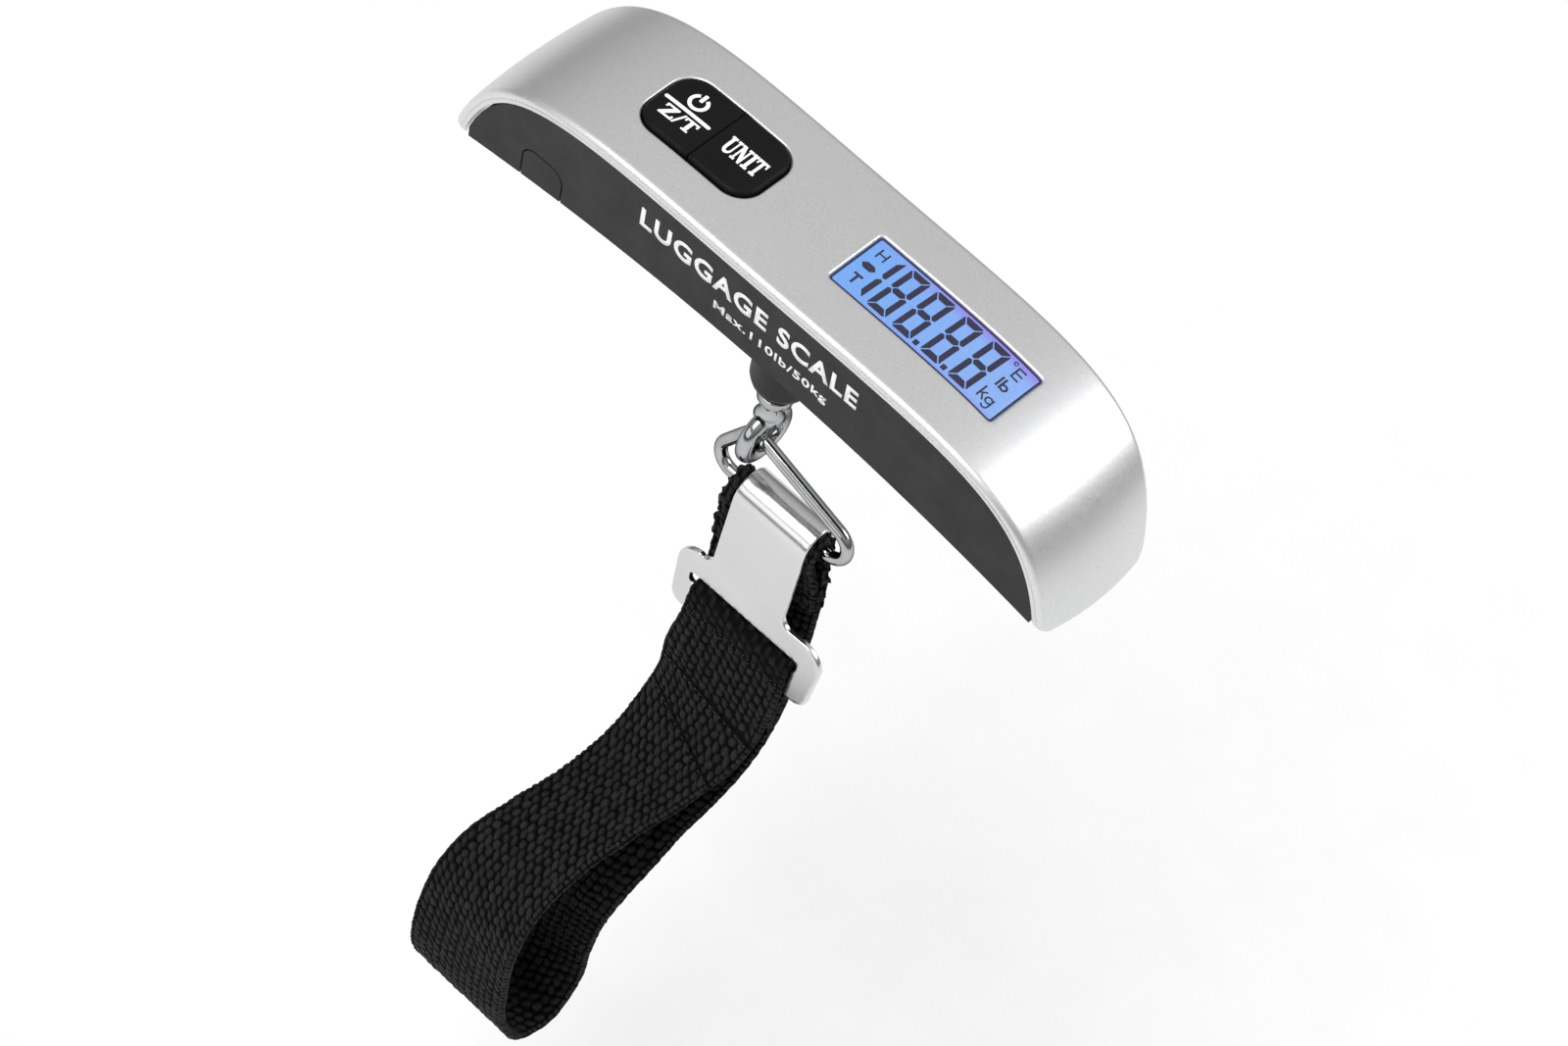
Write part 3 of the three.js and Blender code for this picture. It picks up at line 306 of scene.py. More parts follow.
# Each row is the name, the darkest and lightest tone, the roughness range, the grain and its depth.
MOULDED = {
    "housing": ("housing_plastic", 0.0135, 0.0175, (0.52, 0.64), 2400.0, 0.00003),
    "key": ("key_plastic", 0.006, 0.0085, (0.36, 0.48), 2600.0, 0.00001),
    "rubber": ("rubber", 0.015, 0.025, (0.75, 0.9), 1600.0, 0.00002),
    "print_": ("white_print", 0.88, 0.95, (0.45, 0.6), 2200.0, 0.000008),
    "segment": ("display_segment", *DARK_SIGN, (0.3, 0.4), 1500.0, 0.000004),
    "white": ("white_plastic", 0.66, 0.74, (0.4, 0.55), 1500.0, 0.00001),
    "board": ("board", (0.006, 0.07, 0.02), (0.012, 0.10, 0.03), (0.3, 0.45), 900.0, 0.00001),
    "chip": ("chip", 0.010, 0.018, (0.45, 0.6), 2000.0, 0.00001),
    "aluminium": ("aluminium", 0.62, 0.72, (0.28, 0.4), 1500.0, 0.00001),
    "bright": ("bright_steel", 0.55, 0.65, (0.2, 0.32), 1500.0, 0.00001),
    "brass": ("brass", (0.60, 0.42, 0.16), (0.70, 0.52, 0.22), (0.2, 0.35), 1500.0, 0.00001),
    "foil": ("gauge_foil", (0.35, 0.14, 0.03), (0.48, 0.20, 0.05), (0.3, 0.45), 1500.0, 0.00001),
    "red": ("wire_red", (0.30, 0.010, 0.010), (0.40, 0.016, 0.014), (0.35, 0.5), 1500.0, 0.00001),
    "black": ("wire_black", 0.010, 0.016, (0.35, 0.5), 1500.0, 0.00001),
    "thread": ("stitch_thread", 0.010, 0.018, (0.4, 0.55), 3000.0, 0.00002),
    "floor": ("pale_floor", 0.90, 0.92, (0.85, 0.95), 40.0, 0.0001),
}
EXTRA_SOCKETS = {
    "housing": {"Specular_IOR_Level": 0.24},
    "key": {"Specular_IOR_Level": 0.09},
    "aluminium": METAL,
    "bright": METAL,
    "brass": METAL,
}


def make_materials():
    MATERIALS.update(
        silver=silver_paint(),
        steel=brushed_plate(),
        chrome=chrome_plate(),
        light=display_light(),
        webbing=webbing_yarn(),
        clear=clear_window(),
    )
    for key, row in MOULDED.items():
        MATERIALS[key] = moulded(*row, **EXTRA_SOCKETS.get(key, {}))


# ---------- Mesh helpers ----------
def linked(name, data):
    """A new object in the scene."""
    made = bpy.data.objects.new(name, data)
    bpy.context.scene.collection.objects.link(made)
    return made


def painted(mesh, made):
    mesh.materials.clear()
    mesh.materials.append(MATERIALS[made])


def piece(name, vertices, faces, made, smooth=True):
    mesh = bpy.data.meshes.new(name)
    mesh.from_pydata([tuple(v) for v in vertices], [], [tuple(f) for f in faces])
    mesh.validate()
    body = bmesh.new()
    body.from_mesh(mesh)
    bmesh.ops.recalc_face_normals(body, faces=body.faces)
    body.to_mesh(mesh)
    body.free()
    mesh.polygons.foreach_set("use_smooth", [smooth] * len(mesh.polygons))
    painted(mesh, made)
    made_object = linked(name, mesh)
    return made_object


def even_normals(obj):
    """Lets the large faces decide the normals, so small roundings shade cleanly."""
    weigh = obj.modifiers.new("even_normals", "WEIGHTED_NORMAL")
    weigh.mode = "FACE_AREA"
    weigh.keep_sharp = True


def bevelled(obj, width):
    """Rounds the sharp edges and shades the rest smooth."""
    bevel = obj.modifiers.new("bevel", "BEVEL")
    bevel.width = width * MM
    bevel.segments = 2
    bevel.limit_method = "ANGLE"
    bevel.angle_limit = math.radians(38.0)
    bevel.use_clamp_overlap = True
    even_normals(obj)


def offset_loop(loop, distance):
    """A closed counter-clockwise loop moved outward, or inward for a negative distance."""
    ahead = np.roll(loop, -1, 0) - loop
    ahead /= np.linalg.norm(ahead, axis=1)[:, None]
    behind = np.roll(ahead, 1, 0)
    outward = np.stack([ahead[:, 1] + behind[:, 1], -ahead[:, 0] - behind[:, 0]], 1)
    outward /= np.linalg.norm(outward, axis=1)[:, None]
    share = np.einsum("ij,ij->i", outward, np.stack([ahead[:, 1], -ahead[:, 0]], 1))
    return loop + outward * (distance / np.maximum(share, 0.5))[:, None]


def inside(points, loop):
    """Which points lie inside a closed loop."""
    x, y = points[:, 0][:, None], points[:, 1][:, None]
    x0, y0 = loop[:, 0][None], loop[:, 1][None]
    x1, y1 = np.roll(loop, -1, 0)[:, 0][None], np.roll(loop, -1, 0)[:, 1][None]
    straddles = (y0 > y) != (y1 > y)
    rise = np.where(y1 == y0, 1e-12, y1 - y0)
    return (straddles & (x < (x1 - x0) * (y - y0) / rise + x0)).sum(1) % 2 == 1


def filled(outline, holes, spacing):
    """Triangles over an outline with holes: (all points, triangles), the loops' points first."""
    low, high = outline.min(0), outline.max(0)
    columns = np.arange(low[0] + spacing / 2, high[0], spacing)
    rows = np.arange(low[1] + spacing / 2, high[1], spacing)
    grid = np.stack(np.meshgrid(columns, rows), -1).reshape(-1, 2)
    keep = inside(grid, offset_loop(outline, -0.4 * spacing))
    for hole in holes:
        keep &= ~inside(grid, offset_loop(hole, 0.4 * spacing))
    grid = grid[keep]
    points, edges = [], []
    for loop in [outline, *holes]:
        first = sum(len(p) for p in points)
        edges += [(first + i, first + (i + 1) % len(loop)) for i in range(len(loop))]
        points.append(loop)
    points = np.concatenate([*points, grid])
    made = geometry.delaunay_2d_cdt([Vector(p) for p in points], edges, [], 0, 1e-7)
    source = [originals[0] if originals else None for originals in made[3]]
    triangles = np.array([[source[i] for i in face] for face in made[2]])
    centres = points[triangles].mean(1)
    keep = inside(centres, outline)
    for hole in holes:
        keep &= ~inside(centres, hole)
    return points, triangles[keep]


def plate(name, outline, holes, place, rim, made, spacing=1.0, hole_rim=None, slot=None, share=1.0):
    """A plate with shaped rims. outline and holes are loops in the plate's own two directions,
    place(points, depth) puts them in space, and rim is a row of (inset, depth) from the top
    face's edge to the bottom face's edge. share scales the insets, one value or one per point."""
    hole_rim = hole_rim or rim
    top_holes = [offset_loop(hole, hole_rim[0][0]) for hole in holes]
    top_outline = offset_loop(outline, -rim[0][0] * share)
    points, triangles = filled(top_outline, top_holes, spacing)
    bottom_holes = [offset_loop(hole, hole_rim[-1][0]) for hole in holes]
    bottom_outline = offset_loop(outline, -rim[-1][0] * share)
    under, under_triangles = filled(bottom_outline, bottom_holes, spacing)
    vertices = [place(points, rim[0][1])]
    faces = [tuple(t) for t in triangles]
    first_under = len(points)
    vertices.append(place(under, rim[-1][1]))
    faces += [tuple(first_under + i for i in reversed(t)) for t in under_triangles]
    count = len(points) + len(under)
    start = 0
    for loop, steps, grows in [(outline, rim, -share)] + [(hole, hole_rim, 1.0) for hole in holes]:
        size = len(loop)
        rows = [start + np.arange(size)]
        for inset, depth in steps[1:-1]:
            vertices.append(place(offset_loop(loop, grows * inset), depth))
            rows.append(count + np.arange(size))
            count += size
        rows.append(first_under + start + np.arange(size))
        start += size
        for upper, lower in zip(rows, rows[1:]):
            for i in range(size):
                j = (i + 1) % size
                faces.append((upper[i], lower[i], lower[j], upper[j]))
    return piece(name, np.concatenate(vertices) * MM, faces, made)


def quarter_round(radius, steps=5):
    """Rim rows of a rounded edge, from the face to the wall."""
    turns = [math.pi / 2 * i / steps for i in range(steps + 1)]
    return [(radius * (1 - math.sin(t)), radius * (1 - math.cos(t))) for t in turns]


def rounded_box(x, y, corners, steps=10, side=1.0):
    """Counter-clockwise loop of a rectangle; corners are its radii from the low-x, low-y one on."""
    centres = [(x[0], y[0], 1, 1), (x[1], y[0], -1, 1), (x[1], y[1], -1, -1), (x[0], y[1], 1, -1)]
    loop = []
    for i, ((cx, cy, sx, sy), radius) in enumerate(zip(centres, corners)):
        start = math.pi * (1 + i / 2)
        for k in range(steps + 1):
            turn = start + math.pi / 2 * k / steps
            across = cx + sx * radius + radius * math.cos(turn)
            loop.append((across, cy + sy * radius + radius * math.sin(turn)))
    return dense(np.array(loop), side)


def dense(loop, side):
    """Splits the long sides of a closed loop."""
    points = []
    for a, b in zip(loop, np.roll(loop, -1, 0)):
        parts = max(int(math.ceil(np.linalg.norm(b - a) / side)), 1)
        points += [a + (b - a) * i / parts for i in range(parts)]
    return np.array(points)


def tube(name, path, radius, made, sides):
    """A round wire along a closed row of points."""
    count = len(path)
    along = np.roll(path, -1, 0) - np.roll(path, 1, 0)
    along /= np.linalg.norm(along, axis=1)[:, None]
    across = np.cross(along[0], (0.31, 0.95, 0.11))
    turns = 2 * math.pi * np.arange(sides)[:, None] / sides
    rows = []
    for point, direction in zip(path, along):
        across = across - direction * (across @ direction)
        across /= np.linalg.norm(across)
        other = np.cross(direction, across)
        rows.append(point + radius * (np.cos(turns) * across + np.sin(turns) * other))
    # The last row meets the first where their points lie nearest.
    nearest = int(np.argmin(np.linalg.norm(rows[0] - rows[-1][0], axis=1)))
    faces = []
    for i in range(count):
        a, b = i * sides, (i + 1) % count * sides
        shift = nearest if i == count - 1 else 0
        for k in range(sides):
            j = (k + 1) % sides
            faces.append((a + k, a + j, b + (j + shift) % sides, b + (k + shift) % sides))
    return piece(name, np.concatenate(rows) * MM, faces, made)


def lathe(profile, sides=64):
    """Vertices and faces of a profile of (radius, z) turned about Z, first and last on the axis."""
    turns = [2 * math.pi * k / sides for k in range(sides)]
    middle = profile[1:-1]
    vertices = [(0, 0, profile[0][1])]
    for radius, z in middle:
        vertices += [(radius * math.cos(turn), radius * math.sin(turn), z) for turn in turns]
    vertices.append((0, 0, profile[-1][1]))
    last = len(vertices) - 1
    top = last - sides
    faces = []
    for k in range(sides):
        j = (k + 1) % sides
        faces += [(0, 1 + j, 1 + k), (last, top + k, top + j)]
        for a in range(1, top, sides):
            b = a + sides
            faces.append((a + k, a + j, b + j, b + k))
    return vertices, faces


# ---------- The arch ----------
def half_arch():
    """One Bezier curve from the arch's top to its tip: points, directions and distances along it."""
    t = np.linspace(0, 1, 4001)[:, None]
    middle, top = 0.64 * HALF_LENGTH, GRIP_HEIGHT
    handles = [(0, top), (middle, top), (HALF_LENGTH - 6, top + 2.4), (HALF_LENGTH, 0)]
    weights = [(1 - t) ** 3, 3 * (1 - t) ** 2 * t, 3 * (1 - t) * t**2, t**3]
    points = sum(w * np.array(h) for w, h in zip(weights, handles))
    slopes = np.gradient(points, axis=0)
    slopes /= np.linalg.norm(slopes, axis=1)[:, None]
    slopes[0] = (1, 0)
    steps = np.linalg.norm(np.diff(points, axis=0), axis=1)
    return points, slopes, np.concatenate([[0], np.cumsum(steps)])


ARCH, SLOPE, ALONG = half_arch()
ARCH_LENGTH = ALONG[-1]


def on_arch(s):
    """Position and outward direction in X and Z at arc length s from the arch's middle."""
    sign = np.where(s < 0, -1.0, 1.0)
    away = np.abs(s)
    x = np.interp(away, ALONG, ARCH[:, 0])
    z = np.interp(away, ALONG, ARCH[:, 1])
    dx = np.interp(away, ALONG, SLOPE[:, 0])
    dz = np.interp(away, ALONG, SLOPE[:, 1])
    return x * sign, z, -dz * sign, dx


def arc_length_at(x):
    return float(np.sign(x) * np.interp(abs(x), ARCH[:, 0], ALONG))


def half_width(z):
    return GRIP_WIDTH / 2 - SIDE_LEAN * (GRIP_HEIGHT - z)


def cover_half_width(s):
    x, z, _, _ = on_arch(s)
    corner = np.maximum(TIP_CORNER - (ARCH_LENGTH - np.abs(s)), 0)
    trim = TIP_CORNER - np.sqrt(np.maximum(TIP_CORNER**2 - corner**2, 0))
    return half_width(z) - 0.5 * trim


def place_on_cover(points, depth):
    s, y = points[:, 0], points[:, 1]
    x, z, out_x, out_z = on_arch(s)
    share = np.abs(s) / ARCH_LENGTH
    crown = MIDDLE_CROWN + (TIP_CROWN - MIDDLE_CROWN) * share**6
    height = crown * np.maximum(1 - (y / cover_half_width(s)) ** 2, 0) - depth
    return np.stack([x + out_x * height, y, z + out_z * height], 1)


def place_under_top(points, depth):
    """Straight down from the top of the cover; points are x and y."""
    x, y = points[:, 0], points[:, 1]
    top = np.interp(np.abs(x), ARCH[:, 0], ARCH[:, 1])
    crown = MIDDLE_CROWN * np.maximum(1 - (y / (GRIP_WIDTH / 2)) ** 2, 0)
    return np.stack([x, y, top + crown - depth], 1)


# ---------- Casing ----------
def area_on_arch(area):
    """The outline of a cut-out, laid along the arch."""
    ends = [arc_length_at(x) for x in area["x"]]
    return rounded_box(ends, (-area["half"], area["half"]), [area["corner"]] * 4)


def top_cover():
    straight = ARCH_LENGTH - TIP_CORNER
    spans = (-ARCH_LENGTH, -straight, 16), (-straight, straight, 200), (straight, ARCH_LENGTH, 16)
    left, middle, right = (np.linspace(*span) for span in spans)
    s = np.concatenate([left, middle[1:-1], right])
    near = np.stack([s, -cover_half_width(s)], 1)
    far = np.stack([s[::-1], cover_half_width(s[::-1])], 1)
    outline = dense(np.concatenate([near, far]), 1.2)
    groove = [(0.0, 1.30), (0.14, 1.36), (0.14, 1.50), (0.0, 1.56)]
    rim = [*quarter_round(1.15, 7), *groove, (0.0, 2.1), (0.10, 2.32), (0.35, COVER_WALL)]
    hole_rim = [*quarter_round(0.5, 5), (0.0, COVER_WALL - 0.05), (0.0, COVER_WALL)]
    holes = [area_on_arch(WINDOW), area_on_arch(KEYS)]
    look = {"spacing": 0.9, "hole_rim": hole_rim, "slot": "silver_cover"}
    cover = plate("cover_shell", outline, holes, place_on_cover, rim, "silver", **look)
    even_normals(cover)
    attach(cover, "grip")
    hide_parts("top_cover")


def copied(node_name, name):
    """A new mesh with a CAD node's shape, so that its edges can be rounded."""
    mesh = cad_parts[node_name].data.copy()
    painted(mesh, "housing")
    body = bmesh.new()
    body.from_mesh(mesh)
    bmesh.ops.remove_doubles(body, verts=body.verts, dist=0.00001)
    flat = math.radians(0.4)
    bmesh.ops.dissolve_limit(body, angle_limit=flat, verts=body.verts, edges=body.edges)
    body.to_mesh(mesh)
    body.free()
    mesh.name = name
    mesh.polygons.foreach_set("use_smooth", [True] * len(mesh.polygons))
    made_object = linked(name, mesh)
    return made_object


def lower_housing():
    shell = copied("lower_housing", "housing_shell")
    bevelled(shell, 0.18)
    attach(shell, "grip")
    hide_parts("lower_housing")
    door = copied("battery_door", "battery_cover")
    bevelled(door, 0.15)
    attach(door, "door")
    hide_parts("battery_door")


# ---------- Keys ----------
def key_caps():
    x0, x1 = KEYS["x"][0] + KEY_FIT, KEYS["x"][1] - KEY_FIT
    half = KEYS["half"] - KEY_FIT
    rounded, square = KEYS["corner"] - KEY_FIT, 0.3
    middle = (KEYS["x"][0] + KEYS["x"][1]) / 2
    split = 0.07
    caps = {
        "power": ((x0, middle - split), [rounded, square, square, rounded]),
        "unit": ((middle + split, x1), [square, rounded, rounded, square]),
    }
    rounding = quarter_round(0.75, 6)
    rim = [(inset, depth - KEYS["proud"]) for inset, depth in rounding] + [(0.0, 1.5), (0.05, 1.6)]
    for name, (x, radii) in caps.items():
        outline = rounded_box(x, (-half, half), radii, side=0.8)
        # The edge between the two caps is almost square.
        share = np.clip((np.abs(outline[:, 0] - middle) - split) / 1.5, 0.1, 1.0)
        look = {"spacing": 0.8, "slot": "keys", "share": share}
        cap = plate(f"key_cap_{name}", outline, [], place_under_top, rim, "key", **look)
        even_normals(cap)
        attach(cap, f"{name}_button")
        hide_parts(f"{name}_key")


# ---------- Flat marks ----------
def marks(name, shapes, lift, thickness, made, body, slot):
    """Thin raised marks from loops of x and y, at a height over the cover's top."""
    vertices, faces = [], []
    for outline, holes in shapes:
        points, triangles = filled(np.asarray(outline), [np.asarray(h) for h in holes], 0.6)
        first = sum(len(v) for v in vertices)
        count = len(points)
        vertices += [place_under_top(points, -lift), place_under_top(points, -lift + thickness)]
        faces += [tuple(first + i for i in t) for t in triangles]
        faces += [tuple(first + count + i for i in reversed(t)) for t in triangles]
        start = 0
        for loop in [outline, *holes]:
            for i in range(len(loop)):
                a, b = first + start + i, first + start + (i + 1) % len(loop)
                faces.append((a, a + count, b + count, b))
            start += len(loop)
    made_piece = piece(name, np.concatenate(vertices) * MM, faces, made, smooth=False)
    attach(made_piece, body)


def polygon(points, x, y, width, height, slant=0.0):
    """Points on a unit square, scaled, leaned and moved."""
    u, v = np.array(points, float).T
    return np.stack([x + u * width + v * height * slant, y + v * height], 1)


# Letters with slab serifs: each one outline, counter-clockwise, as x and y in hundredths of its box.
LETTERS = {
    "I": "0 0, 100 0, 100 14, 76 14, 76 86, 100 86, 100 100, 0 100, 0 86, 24 86, 24 14, 0 14",
    "T": (
        "25 0, 75 0, 75 13, 63 13, 63 86, 84 86, 88 70, 100 70, 100 100, 0 100, 0 70, 12 70, "
        "16 86, 37 86, 37 13, 25 13"
    ),
    "N": (
        "0 0, 38 0, 38 13, 27 13, 27 66, 70 0, 88 0, 88 87, 100 87, 100 100, 62 100, 62 87, "
        "73 87, 73 40, 34 100, 0 100, 0 87, 12 87, 12 13, 0 13"
    ),
    "U": (
        "30 4, 42 0, 58 0, 74 6, 86 18, 88 32, 88 87, 100 87, 100 100, 62 100, 62 87, 74 87, "
        "74 34, 68 20, 56 15, 46 17, 40 24, 38 34, 38 87, 50 87, 50 100, 0 100, 0 87, 12 87, "
        "12 30, 16 16"
    ),
    "Z": (
        "0 0, 100 0, 100 32, 88 32, 84 16, 40 16, 100 88, 100 100, 4 100, 4 70, 16 70, 20 85, "
        "60 85, 0 12"
    ),
    "/": "0 0, 30 0, 100 100, 70 100",
}


def word(text, x, y, widths, height, gap):
    """The shapes of a word from x, y on; widths are its letters' own."""
    shapes = []
    for letter, width in zip(text, widths):
        corners = [[float(n) / 100 for n in pair.split()] for pair in LETTERS[letter].split(", ")]
        shapes.append((polygon(corners, x, y, width, height), []))
        x += width + gap
    return shapes


def arc_band(cx, cy, radius, stroke, start, end, steps=28):
    """A band along an arc, angles in degrees, counter-clockwise."""
    turns = np.radians(np.linspace(start, end, steps))
    ring = np.stack([np.cos(turns), np.sin(turns)], 1)
    outer = np.array([cx, cy]) + ring * (radius + stroke / 2)
    inner = np.array([cx, cy]) + ring[::-1] * (radius - stroke / 2)
    return np.concatenate([outer, inner])


def key_marks():
    """The power sign over a bar and Z/T on one key, UNIT on the other."""
    cx, cy = -32.9, 2.5
    stem = rounded_box((cx - 0.36, cx + 0.36), (cy + 0.3, cy + 2.35), [0.2] * 4, 3)
    bar = rounded_box((-38.0, -27.7), (-0.75, 0.0), [0.3] * 4, 3)
    power = [(arc_band(cx, cy, 1.62, 0.72, 120, 420), []), (stem, []), (bar, [])]
    power += word("Z/T", -36.4, -4.2, [2.9, 1.5, 2.9], 2.9, 0.05)
    unit = word("UNIT", -24.1, -2.2, [2.35, 2.35, 1.25, 2.2], 4.1, 0.1)
    for key, shapes in (("power", power), ("unit", unit)):
        look = ("print_", f"{key}_button", "white_plastic")
        marks(f"key_mark_{key}", shapes, KEYS["proud"] + 0.02, 0.05, *look)


# ---------- Display ----------
DISPLAY_DROP = 0.12
DIGIT = {"width": 4.3, "height": 11.75, "upright": 1.12, "level": 1.38, "gap": 0.17, "slant": 0.038}


def digit(x, y, only=None):
    """Seven bars of one digit, mitred at the corners, with its low-left corner at x, y."""
    w, h, u, v, g = (DIGIT[k] for k in ("width", "height", "upright", "level", "gap"))
    half = h / 2
    above, below, near = half + v / 2, half - v / 2, u + g
    mirrored = lambda points: [(w - a, b) for a, b in reversed(points)]
    flipped = lambda points: [(a, h - b) for a, b in reversed(points)]
    top = [(0.5, h), (0.28, h - 0.2), (near, h - v)]
    top += mirrored(top)
    side = [(0, h - 0.5), (0, half + 0.42), (u / 2, half + g)]
    side += [(u, above + 0.1), (u, h - v - g), (0.1, h - 0.33)]
    middle = [(u / 2 + g, half), (near, below), (w - near, below), (w - u / 2 - g, half)]
    middle += [(w - near, above), (near, above)]
    bars = {
        "top": top,
        "bottom": flipped(top),
        "middle": middle,
        "upper_left": side,
        "lower_left": flipped(side),
        "upper_right": mirrored(side),
        "lower_right": flipped(mirrored(side)),
    }
    return [(polygon(bars[name], x, y, 1, 1, DIGIT["slant"]), []) for name in only or list(bars)]


# The small signs beside the digits. A row of five numbers is a straight stroke: its two ends and
# its width. A row of seven is a bow: centre, radius, width, first and last angle, and steps.
SMALL_SIGNS = {
    "H": [(8.3, 2.4, 8.3, 4.7, 0.34), (9.9, 2.4, 9.9, 4.7, 0.34), (8.43, 3.55, 9.77, 3.55, 0.34)],
    "T": [(8.3, -2.75, 10.2, -2.75, 0.5), (9.25, -4.95, 9.25, -3.0, 0.5)],
    "three bars": [
        (39.5, 2.5, 39.5, 5.2, 0.36),
        *[(39.7, y, 41.1, y, 0.36) for y in (5.02, 3.85, 2.68)],
    ],
    "degree": [(38.5, 5.2, 0.36, 0.24, 0, 330, 14)],
    "l": [(39.05, -0.95, 39.05, 1.55, 0.42)],
    "b": [(39.75, -0.95, 39.75, 1.55, 0.42), (40.45, -0.22, 0.58, 0.42, -150, 150, 16)],
    "k": [
        (38.4, -5.0, 38.4, -2.2, 0.36),
        (38.55, -4.05, 39.5, -3.1, 0.32),
        (38.85, -3.9, 39.65, -5.0, 0.32),
    ],
    "g": [
        (40.55, -4.15, 0.62, 0.34, 30, 330, 16),
        (41.25, -5.3, 41.25, -3.4, 0.34),
        (40.62, -5.3, 0.62, 0.32, 200, 355, 12),
    ],
}


def stroke(x0, y0, x1, y1, thick):
    a, b = np.array([x0, y0]), np.array([x1, y1])
    side = np.array([a[1] - b[1], b[0] - a[0]]) / np.linalg.norm(b - a) * thick / 2
    return np.array([a - side, b - side, b + side, a + side])


def display_signs(face):
    """Every dark sign of the display, as seen at the depth of its face."""
    foot = -6.1
    shapes = []
    for left in (13.8, 19.55, 26.05, 32.4):
        shapes += digit(left, foot)
    shapes += digit(8.25, foot, ["upper_right", "lower_right"])
    for left in (24.4, 30.8):
        shapes.append((rounded_box((left, left + 1.0), (foot, -4.95), [0.15] * 4, 2), []))
    minus = [(7.6, -0.1), (8.35, -0.88), (9.9, -0.88), (10.65, -0.1), (9.9, 0.68), (8.35, 0.68)]
    shapes.append((np.array(minus), []))
    for row in sum(SMALL_SIGNS.values(), []):
        shapes.append((stroke(*row) if len(row) == 5 else arc_band(*row), []))
    # Seen through the window, the signs lie a little further along than at its surface.
    shift = np.array([-0.37, 0.70]) * face
    return [(np.asarray(outline) + shift, holes) for outline, holes in shapes]


def display():
    fit = 0.25
    x = (WINDOW["x"][0] + fit, WINDOW["x"][1] - fit)
    half = WINDOW["half"] - fit
    outline = rounded_box(x, (-half, half), [WINDOW["corner"] - fit] * 4, 4)
    top = DISPLAY_DROP
    face = top + 0.3
    lens_rim = [(0.06, top), (0.0, top + 0.05), (0.0, top + 0.2), (0.02, top + 0.22)]
    look = {"made": "clear", "slot": "clear_window"}
    lens = plate("display_lens", outline, [], place_under_top, lens_rim, **look)
    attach(lens, "grip")
    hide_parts("lcd_window")
    panel_rim = [(0.03, face), (0.0, face + 0.03), (0.0, face + 1.0), (0.03, face + 1.03)]
    look = {"made": "light", "slot": "display_blue"}
    panel = plate("display_panel", outline, [], place_under_top, panel_rim, **look)
    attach(panel, "grip")
    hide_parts("lcd_glass")
    shapes = display_signs(face)
    # The dark border is partly the display's own dark edge and partly painted shadow inside the
    # cut-out: it reaches past the panel to the cut-out's wall and is wider at the ends and the far
    # side than at the near side.
    frame_out = rounded_box((x[0] - 0.2, x[1] + 0.2), (-half - 0.2, half + 0.2), [0.7] * 4, 4)
    frame_in = rounded_box((x[0] + 0.25, x[1] - 0.25), (-half + 0.12, half - 0.25), [0.4] * 4, 4)
    shapes.append((frame_out, [frame_in]))
    marks("display_signs", shapes, -face + 0.03, 0.02, "segment", "grip", "display_blue")


# ---------- Printed side ----------
def place_on_side(points, depth):
    """On the leaning printed side; points are x and the distance up the side from z = 0."""
    lean = math.atan(SIDE_LEAN)
    z = points[:, 1] * math.cos(lean)
    y = -(half_width(z) - GAP)
    outward = np.array([0, -math.cos(lean), -math.sin(lean)])
    return np.stack([points[:, 0], y, z], 1) - outward * depth


def text_shape(text, name, x, base, width, height, fatten):
    """Words in the plain built-in letters, laid on the printed side as raised print."""
    curve = bpy.data.curves.new(name, "FONT")
    curve.body = text
    curve.size = 1.0
    curve.offset = fatten
    curve.space_character = 1.12
    curve.resolution_u = 6
    written = linked(name, curve)
    bpy.context.view_layer.update()
    evaluated = written.evaluated_get(bpy.context.evaluated_depsgraph_get())
    mesh = bpy.data.meshes.new_from_object(evaluated)
    bpy.data.objects.remove(written)
    body = bmesh.new()
    body.from_mesh(mesh)
    flat = bmesh.ops.extrude_face_region(body, geom=body.faces[:])
    raised = {v for v in flat["geom"] if isinstance(v, bmesh.types.BMVert)}
    points = np.array([v.co[:2] for v in body.verts])
    low, high = points.min(0), points.max(0)
    grid = (points - low) / (high - low) * (width, height) + (x, base)
    for v, spot in zip(body.verts, grid):
        depth = -0.04 if v in raised else 0.05
        v.co = Vector(place_on_side(np.array([spot]), depth)[0] * MM)
    bmesh.ops.recalc_face_normals(body, faces=body.faces)
    body.to_mesh(mesh)
    body.free()
    mesh.name = name
    painted(mesh, "print_")
    made = linked(name, mesh)
    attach(made, "grip")


def side_print():
    text_shape("LUGGAGE SCALE", "side_print_name", -27.0, 17.0, 50.3, 5.1, 0.028)
    text_shape("Max.110lb/50kg", "side_print_range", -9.0, 11.1, 26.2, 2.9, 0.02)


# ---------- Eye and ring ----------
def eye_bolt():
    """The eye's loop, and its shank with the collar under the neck."""
    turns = np.linspace(0, 2 * math.pi, 73)[:-1]
    path = np.stack([0 * turns, EYE_RADIUS * np.cos(turns), EYE_Z + EYE_RADIUS * np.sin(turns)], 1)
    eye = tube("eye_loop", path, EYE_WIRE, "chrome", 28)
    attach(eye, "eye")
    shank = SHANK_RADIUS
    foot = [(0, -0.6), (1.2, -0.6), (2.9, 0.1), (2.5, 0.9), (2.15, 1.8), (shank, 3.0)]
    collar = [(shank, -4.25), (3.0, -4.1), (3.3, -3.8), (3.3, -2.5), (3.0, -2.2), (shank, -2.05)]
    profile = [(radius, EYE_Z + EYE_RADIUS + z) for radius, z in foot]
    profile += [(radius, NECK_BOTTOM + z) for radius, z in collar]
    profile += [(shank, 19.3), (shank - 0.4, 19.8), (0, 19.8)]
    vertices, faces = lathe(profile)
    shank = piece("eye_shank", np.array(vertices) * MM, faces, "chrome")
    even_normals(shank)
    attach(shank, "eye")
    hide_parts("eye_bolt")


